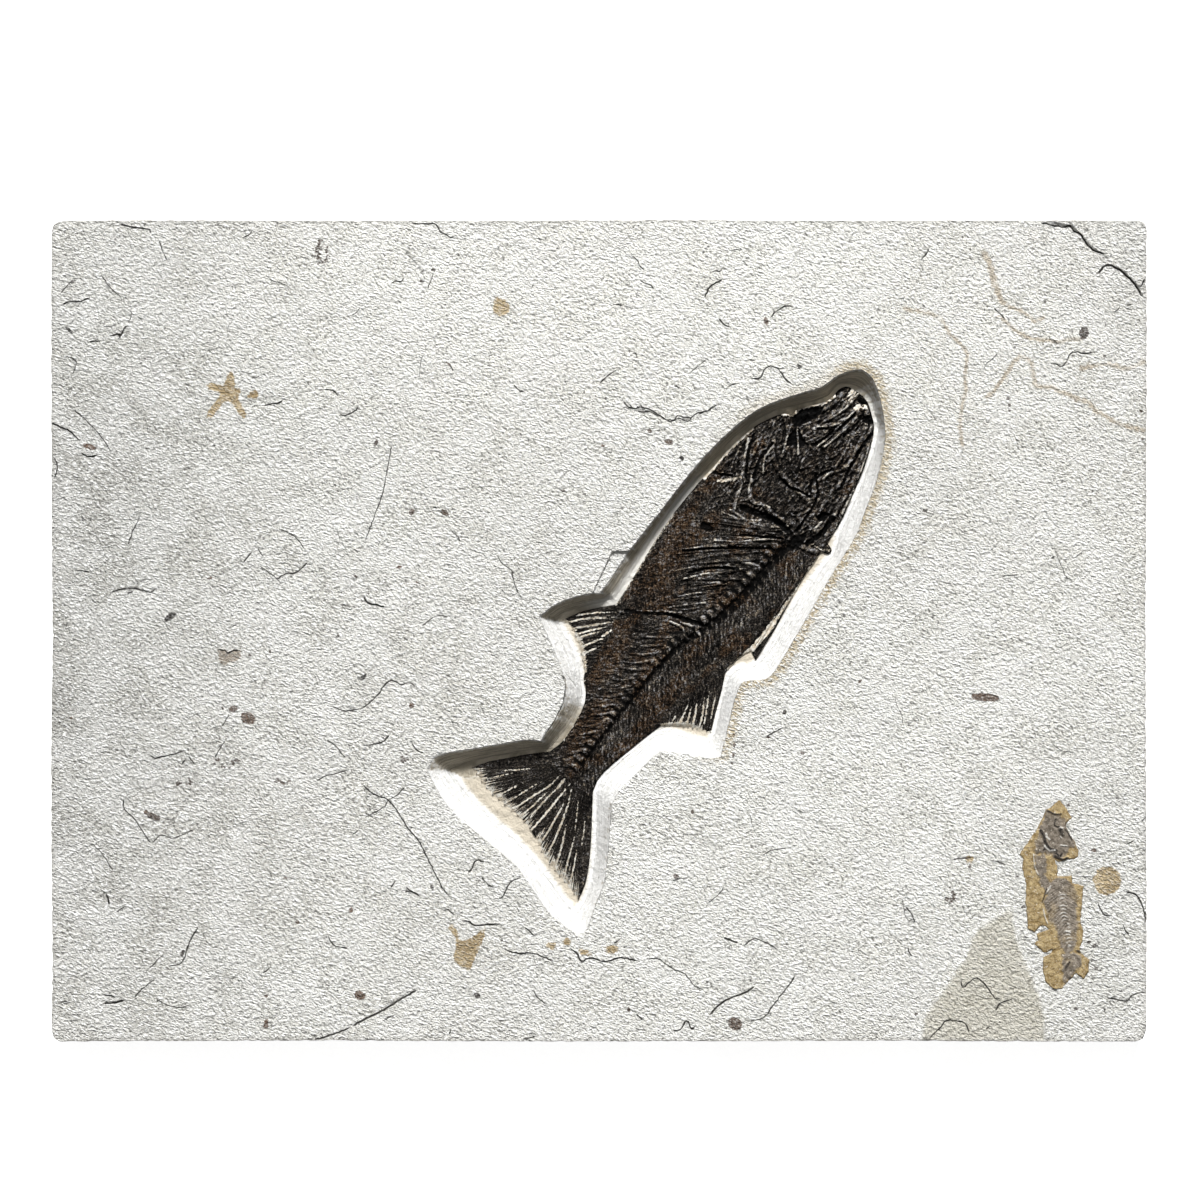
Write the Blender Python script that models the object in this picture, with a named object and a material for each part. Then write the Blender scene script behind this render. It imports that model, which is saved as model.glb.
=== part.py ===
"""Fossil fish slab: a limestone plate with a perch-like fish in a cut recess and a small fish on its face."""

import math

import bmesh
import bpy
import numpy as np
from mathutils import Vector
from mathutils.geometry import delaunay_2d_cdt

MM = 0.001

# Driving dimensions, in millimetres. X runs along the plate, Y across it, Z up from its underside.
SLAB_LENGTH = 609.6
SLAB_WIDTH = 457.2
SLAB_THICKNESS = 25.0
LAYER_STEP = 0.9
LEDGE_DEPTH = 1.4
RECESS_DEPTH = 9.0
POCKET_DEPTH = 1.2
POCKET_CLEARANCE = 0.5
POCKET_WALL_RUN = 0.6
SEAT_GAP = 0.3

FACE_Z = SLAB_THICKNESS - LAYER_STEP
FLOOR_Z = FACE_Z - RECESS_DEPTH
POCKET_Z = FACE_Z - POCKET_DEPTH

# Heights of the large fish above its own underside.
FIN_THICKNESS = 1.0
BODY_EDGE = 1.5
BODY_CROWN = 1.5
BODY_RISE_WIDTH = 22.0
BACKBONE_HEIGHT = 1.7
BACKBONE_HALF_WIDTH = 2.6
TRUNK_EDGE_RUN = 1.5

# The large fish has a frame of its own: its snout is the origin, A runs to the tail and B to its back.
SNOUT = (149.5, 140.4)
FISH_HEADING = math.radians(234.0)
# The small fish has the same kind of frame.
SMALL_SNOUT = (255.5, -97.0)
SMALL_HEADING = math.radians(-83.0)

# How finely the outlines and reliefs are sampled.
PLATE_STEP = 14.0
RECESS_STEP = 7.0
FISH_STEP = 5.0
TRUNK_STEP = 6.0
LAYER_POINTS_STEP = 10.0
PLATE_LATTICE = 19.0
FISH_LATTICE = 8.5
SMALL_LATTICE = 7.0
FILLING_MARGIN = 2.5
MERGE = 0.25
LINE_MARGIN = 0.25
SMALL_LINE_MARGIN = 0.5


# ---------------------------------------------------------------- plane geometry

def placed(points, origin, heading):
    """Points of a fish's own frame, as points of the plate. B is to the left of A's heading."""
    a, b = np.asarray(points, float).T
    x = origin[0] + a * math.cos(heading) - b * math.sin(heading)
    y = origin[1] + a * math.sin(heading) + b * math.cos(heading)
    return np.column_stack([x, y])


def smooth(points, step):
    """A Catmull-Rom curve through the points, sampled about every step. It keeps both ends."""
    points = np.asarray(points, float)
    if len(points) < 3:
        count = max(1, round(np.linalg.norm(points[1] - points[0]) / step))
        return points[0] + np.linspace(0, 1, count + 1)[:, None] * (points[1] - points[0])
    before = np.vstack([2 * points[0] - points[1], points, 2 * points[-1] - points[-2]])
    curve = [points[0]]
    for p0, p1, p2, p3 in zip(before[:-3], before[1:-2], before[2:-1], before[3:]):
        count = max(1, round(np.linalg.norm(p2 - p1) / step))
        for t in np.arange(1, count + 1) / count:
            slope = p2 - p0
            pull = 2 * p0 - 5 * p1 + 4 * p2 - p3
            twist = 3 * p1 - p0 - 3 * p2 + p3
            curve.append(p1 + 0.5 * (t * slope + t ** 2 * pull + t ** 3 * twist))
    return np.array(curve)


def subdivided(line, step):
    """The same straight runs, with points no further apart than a step."""
    return np.vstack([smooth([p, q], step)[:-1] for p, q in zip(line[:-1], line[1:])] + [line[-1:]])


def closed_outline(runs, step):
    """One closed outline from smooth runs that meet at corners."""
    curve = np.vstack([smooth(run, step)[:-1] for run in runs])
    keep = np.linalg.norm(curve - np.roll(curve, 1, axis=0), axis=1) > MERGE
    return curve[keep]


def distance_to_line(points, line):
    """The distance of each point from a polyline, and how far along it the nearest place is, from 0 to 1."""
    points = np.asarray(points, float)
    best = np.full(len(points), np.inf)
    along = np.zeros(len(points))
    lengths = np.linalg.norm(np.diff(line, axis=0), axis=1)
    travelled = np.concatenate([[0], np.cumsum(lengths)])
    for start, end, length, passed in zip(line[:-1], line[1:], lengths, travelled):
        run = end - start
        t = np.clip(((points - start) @ run) / max(length ** 2, 1e-12), 0, 1)
        gap = np.linalg.norm(points - start - t[:, None] * run, axis=1)
        nearer = gap < best
        best[nearer] = gap[nearer]
        along[nearer] = (passed + t[nearer] * length) / travelled[-1]
    return best, along


def distance_to_outline(points, outline):
    return distance_to_line(points, closed(outline))[0]


def inside(points, outline):
    """Whether each point lies in a closed outline."""
    x, y = np.asarray(points, float).T
    found = np.zeros(len(x), bool)
    for (x0, y0), (x1, y1) in zip(outline, np.roll(outline, -1, axis=0)):
        if y0 == y1:
            continue
        crosses = (y0 > y) != (y1 > y)
        found ^= crosses & (x < (x1 - x0) * (y - y0) / (y1 - y0) + x0)
    return found


def offset(line, distance):
    """The polyline moved to its left by a distance, which may change along it."""
    heading = np.gradient(line, axis=0)
    heading /= np.linalg.norm(heading, axis=1)[:, None]
    normal = np.column_stack([-heading[:, 1], heading[:, 0]])
    return line + normal * np.reshape(distance, (-1, 1))


def turn_of(outline):
    """1 for an outline that runs anticlockwise, -1 for one that runs clockwise."""
    x, y = outline.T
    return 1 if np.sum(x * np.roll(y, -1) - y * np.roll(x, -1)) > 0 else -1


def shrunk(outline, distance):
    """The outline moved inwards by a distance, or outwards by a negative one."""
    ring = np.vstack([outline[-1:], outline, outline[:1]])
    return offset(ring, distance * turn_of(outline))[1:-1]


def closed(outline):
    return np.vstack([outline, outline[:1]])


def lattice(outline, step, margin):
    """Points in rows, every other row shifted, that keep a margin to the outline they fill."""
    low = outline.min(axis=0)
    high = outline.max(axis=0)
    points = []
    for row, y in enumerate(np.arange(low[1], high[1], step * math.sqrt(0.75))):
        for x in np.arange(low[0] + (row % 2) * step / 2, high[0], step):
            points.append((x, y))
    points = np.array(points)
    points = points[inside(points, outline)]
    return points[distance_to_outline(points, outline) > margin]


# ---------------------------------------------------------------- relief solids

def triangulate(outline, lines, points):
    """Triangles over an outline that keep its edges and those of the lines."""
    vertices = [Vector(p) for p in outline]
    edges = [(i, (i + 1) % len(outline)) for i in range(len(outline))]
    for line in lines:
        first = len(vertices)
        vertices += [Vector(p) for p in line]
        edges += [(first + i, first + i + 1) for i in range(len(line) - 1)]
    vertices += [Vector(p) for p in points]
    flat, _, faces, *_ = delaunay_2d_cdt(vertices, edges, [], 0, MERGE)
    flat = np.array([tuple(v) for v in flat])
    faces = np.array(faces)
    middles = flat[faces].mean(axis=1)
    faces = faces[inside(middles, outline)]
    used, faces = np.unique(faces, return_inverse=True)
    return flat[used], faces.reshape(-1, 3)


def boundary_loop(faces):
    """The indices round the rim of a triangulated patch, in the direction of its faces."""
    edges = np.concatenate([faces[:, [0, 1]], faces[:, [1, 2]], faces[:, [2, 0]]])
    both = {tuple(edge) for edge in edges}
    following = {a: b for a, b in both if (b, a) not in both}
    loop = [min(following)]
    while following[loop[-1]] != loop[0]:
        loop.append(following[loop[-1]])
    return loop


def relief_object(name, flat, faces, heights, rings, material):
    """A closed solid: a relief on top, rings of points below its rim, and one flat underside.

    Each ring is (outward offsets, heights) for the points of the rim, from the top down.
    """
    loop = boundary_loop(faces)
    rim = flat[loop]
    run = np.roll(rim, -1, axis=0) - np.roll(rim, 1, axis=0)
    outward = np.column_stack([run[:, 1], -run[:, 0]]) / np.linalg.norm(run, axis=1)[:, None]
    mesh = bmesh.new()
    top = [mesh.verts.new((x * MM, y * MM, z * MM)) for (x, y), z in zip(flat, heights)]
    for face in faces:
        mesh.faces.new([top[i] for i in face])
    upper = [top[i] for i in loop]
    count = len(loop)
    for offsets, levels in rings:
        spots = rim + outward * np.reshape(np.broadcast_to(offsets, count), (-1, 1))
        levels = np.broadcast_to(levels, count)
        lower = [mesh.verts.new((x * MM, y * MM, z * MM)) for (x, y), z in zip(spots, levels)]
        for i in range(count):
            j = (i + 1) % count
            mesh.faces.new((upper[j], upper[i], lower[i], lower[j]))
        upper = lower
    mesh.faces.new(list(reversed(upper)))
    data = bpy.data.meshes.new(name)
    mesh.to_mesh(data)
    mesh.free()
    data.materials.append(material)
    solid = bpy.data.objects.new(name, data)
    bpy.context.scene.collection.objects.link(solid)
    return solid


class Ridge:
    """A raised bone, spine or ray along a line, with its half width at each end and its height."""

    def __init__(self, line, start_width, end_width, height, step):
        self.line = smooth(line, step)
        self.start_width = start_width
        self.end_width = end_width
        self.height = height

    def width_along(self, along):
        return self.start_width + (self.end_width - self.start_width) * along

    def lines(self):
        """The crest and both feet."""
        reach = self.width_along(np.linspace(0, 1, len(self.line)))
        return [self.line, offset(self.line, reach), offset(self.line, -reach)]

    def heights(self, points):
        gap, along = distance_to_line(points, self.line)
        return self.height * np.clip(1 - gap / self.width_along(along), 0, 1)


def clipped(line, outline, margin):
    """The longest stretch of a line that keeps a margin inside an outline."""
    good = inside(line, outline) & (distance_to_outline(line, outline) > margin)
    stretches = []
    for i, keep in enumerate(good):
        if keep and (i == 0 or not good[i - 1]):
            stretches.append([])
        if keep:
            stretches[-1].append(i)
    longest = max(stretches, key=len, default=[])
    return line[longest]


# ---------------------------------------------------------------- the large fish

def fin(base, edge, count, bow=0.0):
    """The rays of a fin, spread evenly from its base line to its free edge, and bowed sideways."""
    roots = smooth(base, 0.5)
    tips = smooth(edge, 0.5)
    rays = []
    for share in np.linspace(0, 1, count):
        root = roots[round(share * (len(roots) - 1))]
        tip = tips[round(share * (len(tips) - 1))]
        run = tip - root
        middle = root + 0.5 * run + bow * np.array([-run[1], run[0]])
        rays.append(np.array([root, middle, tip]))
    return rays


def frayed_edge(rays, splits, shallow, deep):
    """A fin's free edge: the ray tips, with a notch between neighbours that is deep at each split."""
    edge = [rays[0][-1]]
    for index, (ray, following) in enumerate(zip(rays[:-1], rays[1:])):
        depth = deep if index in splits else shallow
        roots = 0.5 * (ray[1] + following[1])
        tips = 0.5 * (ray[-1] + following[-1])
        inward = (roots - tips) / np.linalg.norm(roots - tips)
        if index in splits:
            across = (following[-1] - ray[-1]) * SPLIT_SHARE
            edge += [tips - across, tips + inward * depth, tips + across]
        else:
            edge.append(tips + inward * depth)
        edge.append(following[-1])
    return edge


TAIL_UPPER = fin(
    [(279, 10.5), (279.5, 0.5)], [(330, 40.5), (327.5, 33), (325.5, 25), (322, 12), (315.5, 0.5)], 11
)
TAIL_LOWER = fin(
    [(279.5, -1.5), (277, -17.5)], [(313.5, -5), (311.8, -15), (311, -25), (310, -36), (305, -51)], 11
)
SECOND_DORSAL = fin(
    [(182, 31.5), (221, 19.5)], [(211, 45.5), (213, 40), (216, 34), (219.5, 28), (224.5, 20.5)], 12
)
ANAL = fin(
    [(186, -37.5), (222, -29)], [(207, -57.5), (210, -51), (213.5, -44.5), (218, -39), (225.5, -31)], 10,
    bow=-0.06,
)
# The pairs of neighbouring rays with a deep notch between them, counted from each fin's first ray.
TAIL_UPPER_SPLITS = (1, 3, 5, 7, 8)
TAIL_LOWER_SPLITS = (0, 2, 4)
ANAL_SPLITS = (0, 1, 2)
SPLIT_SHARE = 0.16
# How far the raised rays reach along a fin.
RAY_REACH = 0.94

HEAD_BELOW = [(9, 1), (10, -6), (14, -9.2), (20, -9.6), (26, -12.5), (31, -17), (38, -21.8)]
JAW_CORNER = [(38, -21.8), (41.5, -21)]
BELLY = [
    (41.5, -21), (43, -26), (50, -31), (60, -35.6), (75, -39), (90, -40.4), (105, -42.2), (128, -43.2),
    (150, -42), (167, -40.4), (184, -39.3),
]
ANAL_FRONT = [(184, -39.3), (190, -45), (198, -52), (207, -57.5)]
VENT_TO_TAIL = [(225.5, -31), (229, -29), (234, -24), (241, -20.6), (252, -19), (264, -18.8), (272, -21)]
TAIL_BELOW = [(272, -21), (280, -29.5), (290, -39), (297, -45.5), (305, -51)]
TAIL_ABOVE = [(330, 40.5), (320, 38.3), (310, 33.6), (300, 27.6), (290, 21), (276, 11.6)]
TAIL_STALK = [(276, 11.6), (269, 10), (260, 11), (250, 13.4), (238, 16.6), (224.5, 20.5)]
DORSAL_FRONT = [(211, 45.5), (200, 41), (190, 37.2), (179, 32.4)]
BACK_STEP = [(179, 32.4), (168, 33.4), (160.5, 36.6)]
DORSAL_TIP = [(160.5, 36.6), (163.5, 41.8)]
FIRST_DORSAL = [(163.5, 41.8), (143, 40.3), (128, 38.4), (112, 36.6), (93, 36)]
NAPE_NUB = [(93, 36), (91.8, 40), (88.8, 40.2), (87, 36)]
NAPE = [(87, 36), (72, 34.8), (60, 32), (50, 30), (40, 27.4), (29, 23.6), (20, 19.4), (14, 13),
(10, 7), (9, 1)]


def fish_outline():
    upper = frayed_edge(TAIL_UPPER, TAIL_UPPER_SPLITS, 1.6, 9.0)
    lower = frayed_edge(TAIL_LOWER, TAIL_LOWER_SPLITS, 1.4, 7.0)
    tail = list(reversed(upper + lower))
    anal = frayed_edge(ANAL, ANAL_SPLITS, 1.0, 6.0)
    dorsal = list(reversed(frayed_edge(SECOND_DORSAL, (), 1.2, 0)))
    runs = [HEAD_BELOW, JAW_CORNER, BELLY, ANAL_FRONT]
    runs += [[p, q] for p, q in zip(anal[:-1], anal[1:])]
    runs += [VENT_TO_TAIL, TAIL_BELOW]
    runs += [[p, q] for p, q in zip(tail[:-1], tail[1:])]
    runs += [TAIL_ABOVE, TAIL_STALK]
    runs += [[p, q] for p, q in zip(dorsal[:-1], dorsal[1:])]
    runs += [DORSAL_FRONT, BACK_STEP, DORSAL_TIP, FIRST_DORSAL, NAPE_NUB, NAPE]
    return closed_outline(runs, FISH_STEP)


# The trunk without its fins, where the relief is thick.
TRUNK = [
    [(9, 1), (10, -6), (14, -9.2), (26, -12.5), (38, -21.8), (43, -26), (60, -35.6), (90, -40.4),
     (128, -43.2),
     (167, -40.4), (190, -36.5), (212, -32), (229, -27.5), (241, -20.6), (264, -18.8), (279, -15),
     (280, 9)],
    [(280, 9), (260, 11), (238, 16.6), (222, 20), (200, 27), (178, 32), (150, 35.5), (112, 36.6), (87, 36),
     (60, 32), (29, 23.6), (14, 13), (9, 1)],
]

BACKBONE = [
    (90, 13), (97, 13.2), (111, 13), (125, 12), (140, 10.4), (155, 7.6), (165, 4.6), (175, 1.4),
    (187, -1.4),
    (200, -2.6), (215, -3.8), (232, -4.4), (252, -4.6), (277, -4.6),
]
VERTEBRA_PITCH = 5.2

# Bones of the head: (line, half width, height).
SKULL = [
    ([(15, 11), (24, 15.5), (36, 18.5), (46, 19)], 1.7, 1.4),
    ([(30, 22), (40, 25), (50, 27), (75, 30)], 1.8, 1.5),
    ([(46, 20), (55, 14), (63, 10.5)], 1.5, 1.2),
    ([(52, 24), (64, 21), (80, 22.5)], 1.6, 1.1),
    ([(18, 7.5), (30, 6), (45, 2.5)], 1.3, 1.3),
    ([(18, 4.5), (28, 2), (34, -3), (38, -8)], 1.3, 1.3),
    ([(12, -1), (22, -2.2), (34, -5.5)], 1.3, 1.2),
    ([(15, -6.5), (24, -8), (32, -12.5), (38, -17.5)], 1.7, 1.6),
    ([(44, -25), (50, -18), (57, -14), (63, -13)], 1.5, 1.2),
    ([(74.5, 14), (73, 5), (71.5, -6), (67, -16), (58, -22.5)], 2.0, 1.7),
    ([(90, 13), (92, 3), (91, -6), (93, -10.5), (90, -15.5), (82, -19.5)], 1.6, 1.6),
    ([(60, -29), (74, -26), (87, -22)], 1.2, 1.1),
    ([(62, -33), (76, -30), (88, -26)], 1.2, 1.1),
    ([(76, -30), (85, -24.5), (95, -20.5), (104, -17)], 1.6, 1.7),
    ([(88, -29), (90.5, -34), (93, -38.5)], 1.4, 1.3),
    ([(95, 33), (97, 26), (98, 22)], 1.6, 1.2),
]
# The two domes of the head: (middle, half length and half width, height).
CHEEK = ((59, 0), (10, 11), 0.9)
GILL_COVER = ((82, -2), (8.5, 15), 1.2)

RIBS = [
    [(93, 12), (99, 4), (103, -6), (104, -19)],
    [(98, 13), (106, 2), (113, -10), (121, -20), (129, -30)],
    [(106, 12), (115, 0), (124, -13), (133, -22), (140, -29)],
    [(118, 10), (126, 0), (134, -10), (143, -20)],
    [(130, 8), (138, -4), (147, -13), (155, -20)],
    [(142, 6), (150, -4), (158, -13), (163, -18)],
]
ANAL_BEARER = [(167, -8), (173, -16), (179, -25), (185, -34)]
DORSAL_SPINES = [
    [(120, 36), (141, 38.6), (161.5, 40.6)],
    [(132, 35.4), (146, 36.8), (159.5, 38)],
]
# The spines below and above the backbone, by their first and last place along A and their pitch.
HAEMAL_SPINES = (182, 262, 7.2)
NEURAL_SPINES = (104, 262, 8.2)
SPINE_START = 3.0


def spines_off_backbone(backbone, first, last, pitch, angles, lengths):
    """Fine spines that leave the backbone, turning and shortening evenly from the first to the last."""
    spines = []
    for a in np.arange(first, last, pitch):
        share = (a - first) / (last - first)
        b = np.interp(a, backbone[:, 0], backbone[:, 1])
        angle = math.radians(angles[0] + (angles[1] - angles[0]) * share)
        length = lengths[0] + (lengths[1] - lengths[0]) * share
        side = math.copysign(1, angle)
        root = np.array([a, b + side * SPINE_START])
        heading = np.array([math.cos(angle), math.sin(angle)])
        bend = np.array([0.05 * length, 0])
        spines.append([root, root + heading * length * 0.5 + bend, root + heading * length])
    return spines


def fish_ridges(backbone):
    """Every raised bone, spine and ray of the large fish but the backbone."""
    ridges = [Ridge(line, width, width * 0.8, height, 9.0) for line, width, height in SKULL]
    ridges += [Ridge(line, 1.1, 0.7, 0.9, 16.0) for line in RIBS]
    ridges.append(Ridge(ANAL_BEARER, 1.5, 1.2, 1.3, 14.0))
    ridges += [Ridge(line, 0.9, 0.8, 0.8, 22.0) for line in DORSAL_SPINES]
    spines = spines_off_backbone(backbone, *HAEMAL_SPINES, (-58, -42), (14, 8))
    spines += spines_off_backbone(backbone, *NEURAL_SPINES, (50, 30), (13, 9))
    ridges += [Ridge(line, 1.0, 0.7, 0.8, 8.0) for line in spines]
    for rays in (TAIL_UPPER, TAIL_LOWER, SECOND_DORSAL, ANAL):
        ridges += [Ridge(ray[0] + (ray - ray[0]) * RAY_REACH, 0.7, 0.95, 0.8, 30.0) for ray in rays]
    return ridges


def dome(points, centre, radii, height):
    reach = (points - np.array(centre)) / np.array(radii)
    return height * np.clip(1 - (reach ** 2).sum(axis=1), 0, 1)


def fish_heights(points, trunk, backbone, ridges):
    """The height of the large fish over its underside, at points of its own frame."""
    depth = np.where(inside(points, trunk), distance_to_outline(points, trunk), 0)
    rise = np.clip(depth / BODY_RISE_WIDTH, 0, 1)
    on_trunk = np.clip(depth / TRUNK_EDGE_RUN, 0, 1)
    crown = FIN_THICKNESS + (BODY_EDGE - FIN_THICKNESS) * on_trunk + BODY_CROWN * np.sin(rise * math.pi / 2)
    crown += dome(points, *CHEEK) + dome(points, *GILL_COVER)
    gap, along = distance_to_line(points, backbone)
    length = np.linalg.norm(np.diff(backbone, axis=0), axis=1).sum()
    bead = 0.8 + 0.2 * np.cos(2 * math.pi * along * length / VERTEBRA_PITCH)
    raised = BACKBONE_HEIGHT * bead * np.clip(1 - (gap / BACKBONE_HALF_WIDTH) ** 2, 0, 1)
    for ridge in ridges:
        raised = np.maximum(raised, ridge.heights(points))
    return crown + raised


def build_fossil_fish(material):
    outline = fish_outline()
    trunk = closed_outline(TRUNK, TRUNK_STEP)
    backbone = smooth(BACKBONE, VERTEBRA_PITCH / 2)
    ridges = fish_ridges(backbone)
    lines = [trunk, backbone, offset(backbone, BACKBONE_HALF_WIDTH), offset(backbone, -BACKBONE_HALF_WIDTH)]
    for ridge in ridges:
        lines += ridge.lines()
    lines = [clipped(line, outline, LINE_MARGIN) for line in lines]
    lines = [line for line in lines if len(line) > 1]
    filling = lattice(outline, FISH_LATTICE, FILLING_MARGIN)
    flat, faces = triangulate(outline, lines, filling)
    heights = fish_heights(flat, trunk, backbone, ridges)
    underside = FLOOR_Z + SEAT_GAP
    spots = placed(flat, SNOUT, FISH_HEADING)
    return relief_object("fossil_fish", spots, faces, underside + heights, [(0, underside)], material)


# ---------------------------------------------------------------- the small fish

SMALL_OUTLINE = [
    [(-3, 0.8), (2, 3.9), (7.8, 6.6)],
    [(7.8, 6.6), (10.5, 3.4), (17, 4.4), (26, 7.7)],
    [(26, 7.7), (29.3, 7.2), (30.8, 3), (31, -4.5)],
    [(31, -4.5), (35, -5), (39.2, -5)],
    [(39.2, -5), (39.4, -1), (40.4, 2.6), (44, 3)],
    [(44, 3), (46.2, 8)],
    [(46.2, 8), (56, 6.1), (66, 4.6), (76, 4.1), (81.5, 2)],
    [(81.5, 2), (87.1, 6.4), (93.7, 5.3), (97.5, 1.9)],
    [(97.5, 1.9), (94.4, -1.9), (97, -5.6), (101.4, -10.4)],
    [(101.4, -10.4), (101.2, -15.4), (96.5, -19.4), (89.8, -19.9), (82.6, -19)],
    [(82.6, -19), (81, -14)],
    [(81, -14), (78.6, -18.6), (74.4, -23)],
    [(74.4, -23), (72.6, -20.8), (69.4, -20.9)],
    [(69.4, -20.9), (67.4, -15)],
    [(67.4, -15), (66, -20), (66.4, -25.4)],
    [(66.4, -25.4), (51.4, -24.8), (40.6, -23.8), (32.1, -24.2), (24.5, -24.5)],
    [(24.5, -24.5), (19.2, -20.4), (11.6, -13.6), (6.2, -10), (1.4, -7.3)],
    [(1.4, -7.3), (0.5, -4.7), (-3, 0.8)],
]
SMALL_TRUNK = [
    [(2, -5), (8, 1), (20, 4), (27, 3), (29, -3), (30, -9), (37, -11), (41, -8), (43, -1), (50, 3), (66, 2),
     (80, -1), (92, -2.5), (95, -6), (92, -8), (80, -8), (66, -9.6), (57, -13), (43, -14.5), (31, -17),
     (24, -16), (14, -12.5), (7, -9), (2, -5)],
]
SMALL_BACKBONE = [(50, -4.2), (59, -4.8), (67, -4), (77, -3.6)]
SMALL_BONES = [
    ([(12.7, -11.4), (15.4, -10.3), (19.2, -9.9), (23, -7.9), (24.7, -4.3)], 1.1, 0.5),
    ([(25.6, -5.6), (28, -3), (28.6, 1.4)], 1.0, 0.5),
    ([(13, 0.4), (17, 1), (21, 2.4)], 1.0, 0.4),
    ([(4, -4.6), (6, -2), (9, 1)], 0.9, 0.4),
    ([(44.9, -12.3), (52.1, -15.6)], 0.8, 0.3),
    ([(25, -18.6), (32, -19.4), (37, -18)], 0.7, 0.3),
    ([(56, -17.5), (60, -17.2), (64, -16.2)], 0.7, 0.3),
    ([(89.7, -5.9), (86.5, -4.4)], 0.9, 0.3),
]
# Heights of the small fish above its own underside.
SMALL_EDGE = 0.75
SMALL_RISE = 0.45
SMALL_RISE_WIDTH = 4.0
SMALL_BACKBONE_HEIGHT = 0.45
SMALL_BACKBONE_HALF_WIDTH = 1.3


def build_small_fish(material):
    outline = closed_outline(SMALL_OUTLINE, FISH_STEP)
    trunk = closed_outline(SMALL_TRUNK, FISH_STEP)
    backbone = smooth(SMALL_BACKBONE, 3.0)
    bones = [Ridge(line, width, width * 0.8, height, 6.0) for line, width, height in SMALL_BONES]
    half_width = SMALL_BACKBONE_HALF_WIDTH
    lines = [trunk, backbone, offset(backbone, half_width), offset(backbone, -half_width)]
    for bone in bones:
        lines += bone.lines()
    lines = [clipped(line, outline, SMALL_LINE_MARGIN) for line in lines]
    lines = [line for line in lines if len(line) > 1]
    flat, faces = triangulate(outline, lines, lattice(outline, SMALL_LATTICE, FILLING_MARGIN))
    depth = np.where(inside(flat, trunk), distance_to_outline(flat, trunk), 0)
    heights = SMALL_EDGE + SMALL_RISE * np.clip(depth / SMALL_RISE_WIDTH, 0, 1)
    gap, _ = distance_to_line(flat, backbone)
    raised = SMALL_BACKBONE_HEIGHT * np.clip(1 - gap / half_width, 0, 1)
    for bone in bones:
        raised = np.maximum(raised, bone.heights(flat))
    underside = POCKET_Z + SEAT_GAP
    spots = placed(flat, SMALL_SNOUT, SMALL_HEADING)
    heights = underside + heights + raised
    return relief_object("small_fossil_fish", spots, faces, heights, [(0, underside)], material)


# ---------------------------------------------------------------- the plate

# The recess, in the large fish's frame: where its walls meet the face, and where they meet its floor.
RECESS_RIM = [
    [(-1.5, 2), (-2, -4), (1, -9), (8, -14), (19, -18), (27, -24), (35, -30), (45, -36.5),
     (56, -41.4), (75, -46),
     (98, -48.8), (130, -50), (156, -51)],
    [(156, -51), (170, -50.4), (184, -50)],
    [(184, -50), (188, -55), (195, -61), (204, -66.6), (215, -70)],
    [(215, -70), (220, -61), (226, -50.5), (235, -38), (243, -31.6), (255, -29.4), (270, -28.6)],
    [(270, -28.6), (275, -36.5), (290, -51), (300, -61), (308, -68.6), (313, -71), (320, -70)],
    [(320, -70), (324.5, -62), (328.7, -52), (331.5, -37), (333, -15), (334.5, 2), (340, 18), (345, 33),
     (345.5, 51)],
    [(345.5, 51), (339.5, 53.6), (328, 50.4), (314, 46.4), (303, 41), (291, 33.6), (275, 24)],
    [(275, 24), (265, 23), (255, 24.7), (240, 27.4), (235, 29)],
    [(235, 29), (230, 38), (225, 48), (222, 54), (218, 57.5)],
    [(218, 57.5), (212, 55), (200, 50), (190, 46), (181, 43.2), (176, 44.2), (171, 50), (165, 53.6),
     (150, 53),
     (120, 50), (97, 47.8), (75, 46), (60, 42), (45, 38), (31, 32.4), (20, 26.4), (10, 17.4),
     (3, 9.4), (-1.5, 2)],
]
RECESS_FOOT = [
    [(6.5, 4), (7, -3), (9.5, -8), (13, -11.2), (20, -12), (26, -15.5), (31, -19.6), (37, -24.6), (42, -29),
     (48, -33), (60, -38), (75, -41), (98, -43.6), (115, -44.8), (130, -45.2), (150, -43.8), (182, -41.4)],
    [(182, -41.4), (189, -47.4), (197, -54), (204, -59.4), (210, -62)],
    [(210, -62), (213, -55), (218, -45), (224, -36), (231, -29.4), (237, -24), (245, -21.4), (254, -20.4),
     (270, -21.6)],
    [(270, -21.6), (279, -30.6), (289, -40.6), (298, -49.4), (306, -55.6), (313, -60)],
    [(313, -60), (316, -52), (319.5, -40), (321.6, -25), (323, -10), (326, 6), (329.5, 19), (334, 33),
     (337, 44)],
    [(337, 44), (328, 43.6), (318, 40.6), (308, 35.4), (298, 29.4), (288, 22.4), (275, 13)],
    [(275, 13), (268, 11.4), (259, 12.6), (249, 15), (238, 18), (229, 20.4)],
    [(229, 20.4), (224, 27), (220, 38), (216, 47.6)],
    [(216, 47.6), (210, 47.2), (199, 42.8), (187, 37.6), (178, 35.4), (172, 37.4), (168, 42.4),
     (162, 44.4)],
    [(162, 44.4), (140, 42.6), (120, 41), (97, 41.8), (88, 41.6), (79, 38.4), (60, 34.4), (45, 30.8),
     (30, 26.2),
     (19, 21.4), (12.5, 14), (8, 9), (6.5, 4)],
]
# The flake missing beside the recess, in the large fish's frame.
LEDGE = [(153, -49), (156.5, -52.5), (161.5, -58.7), (187.6, -53.6), (184.5, -48), (170, -48)]
LEDGE_RUN = 0.8

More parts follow.
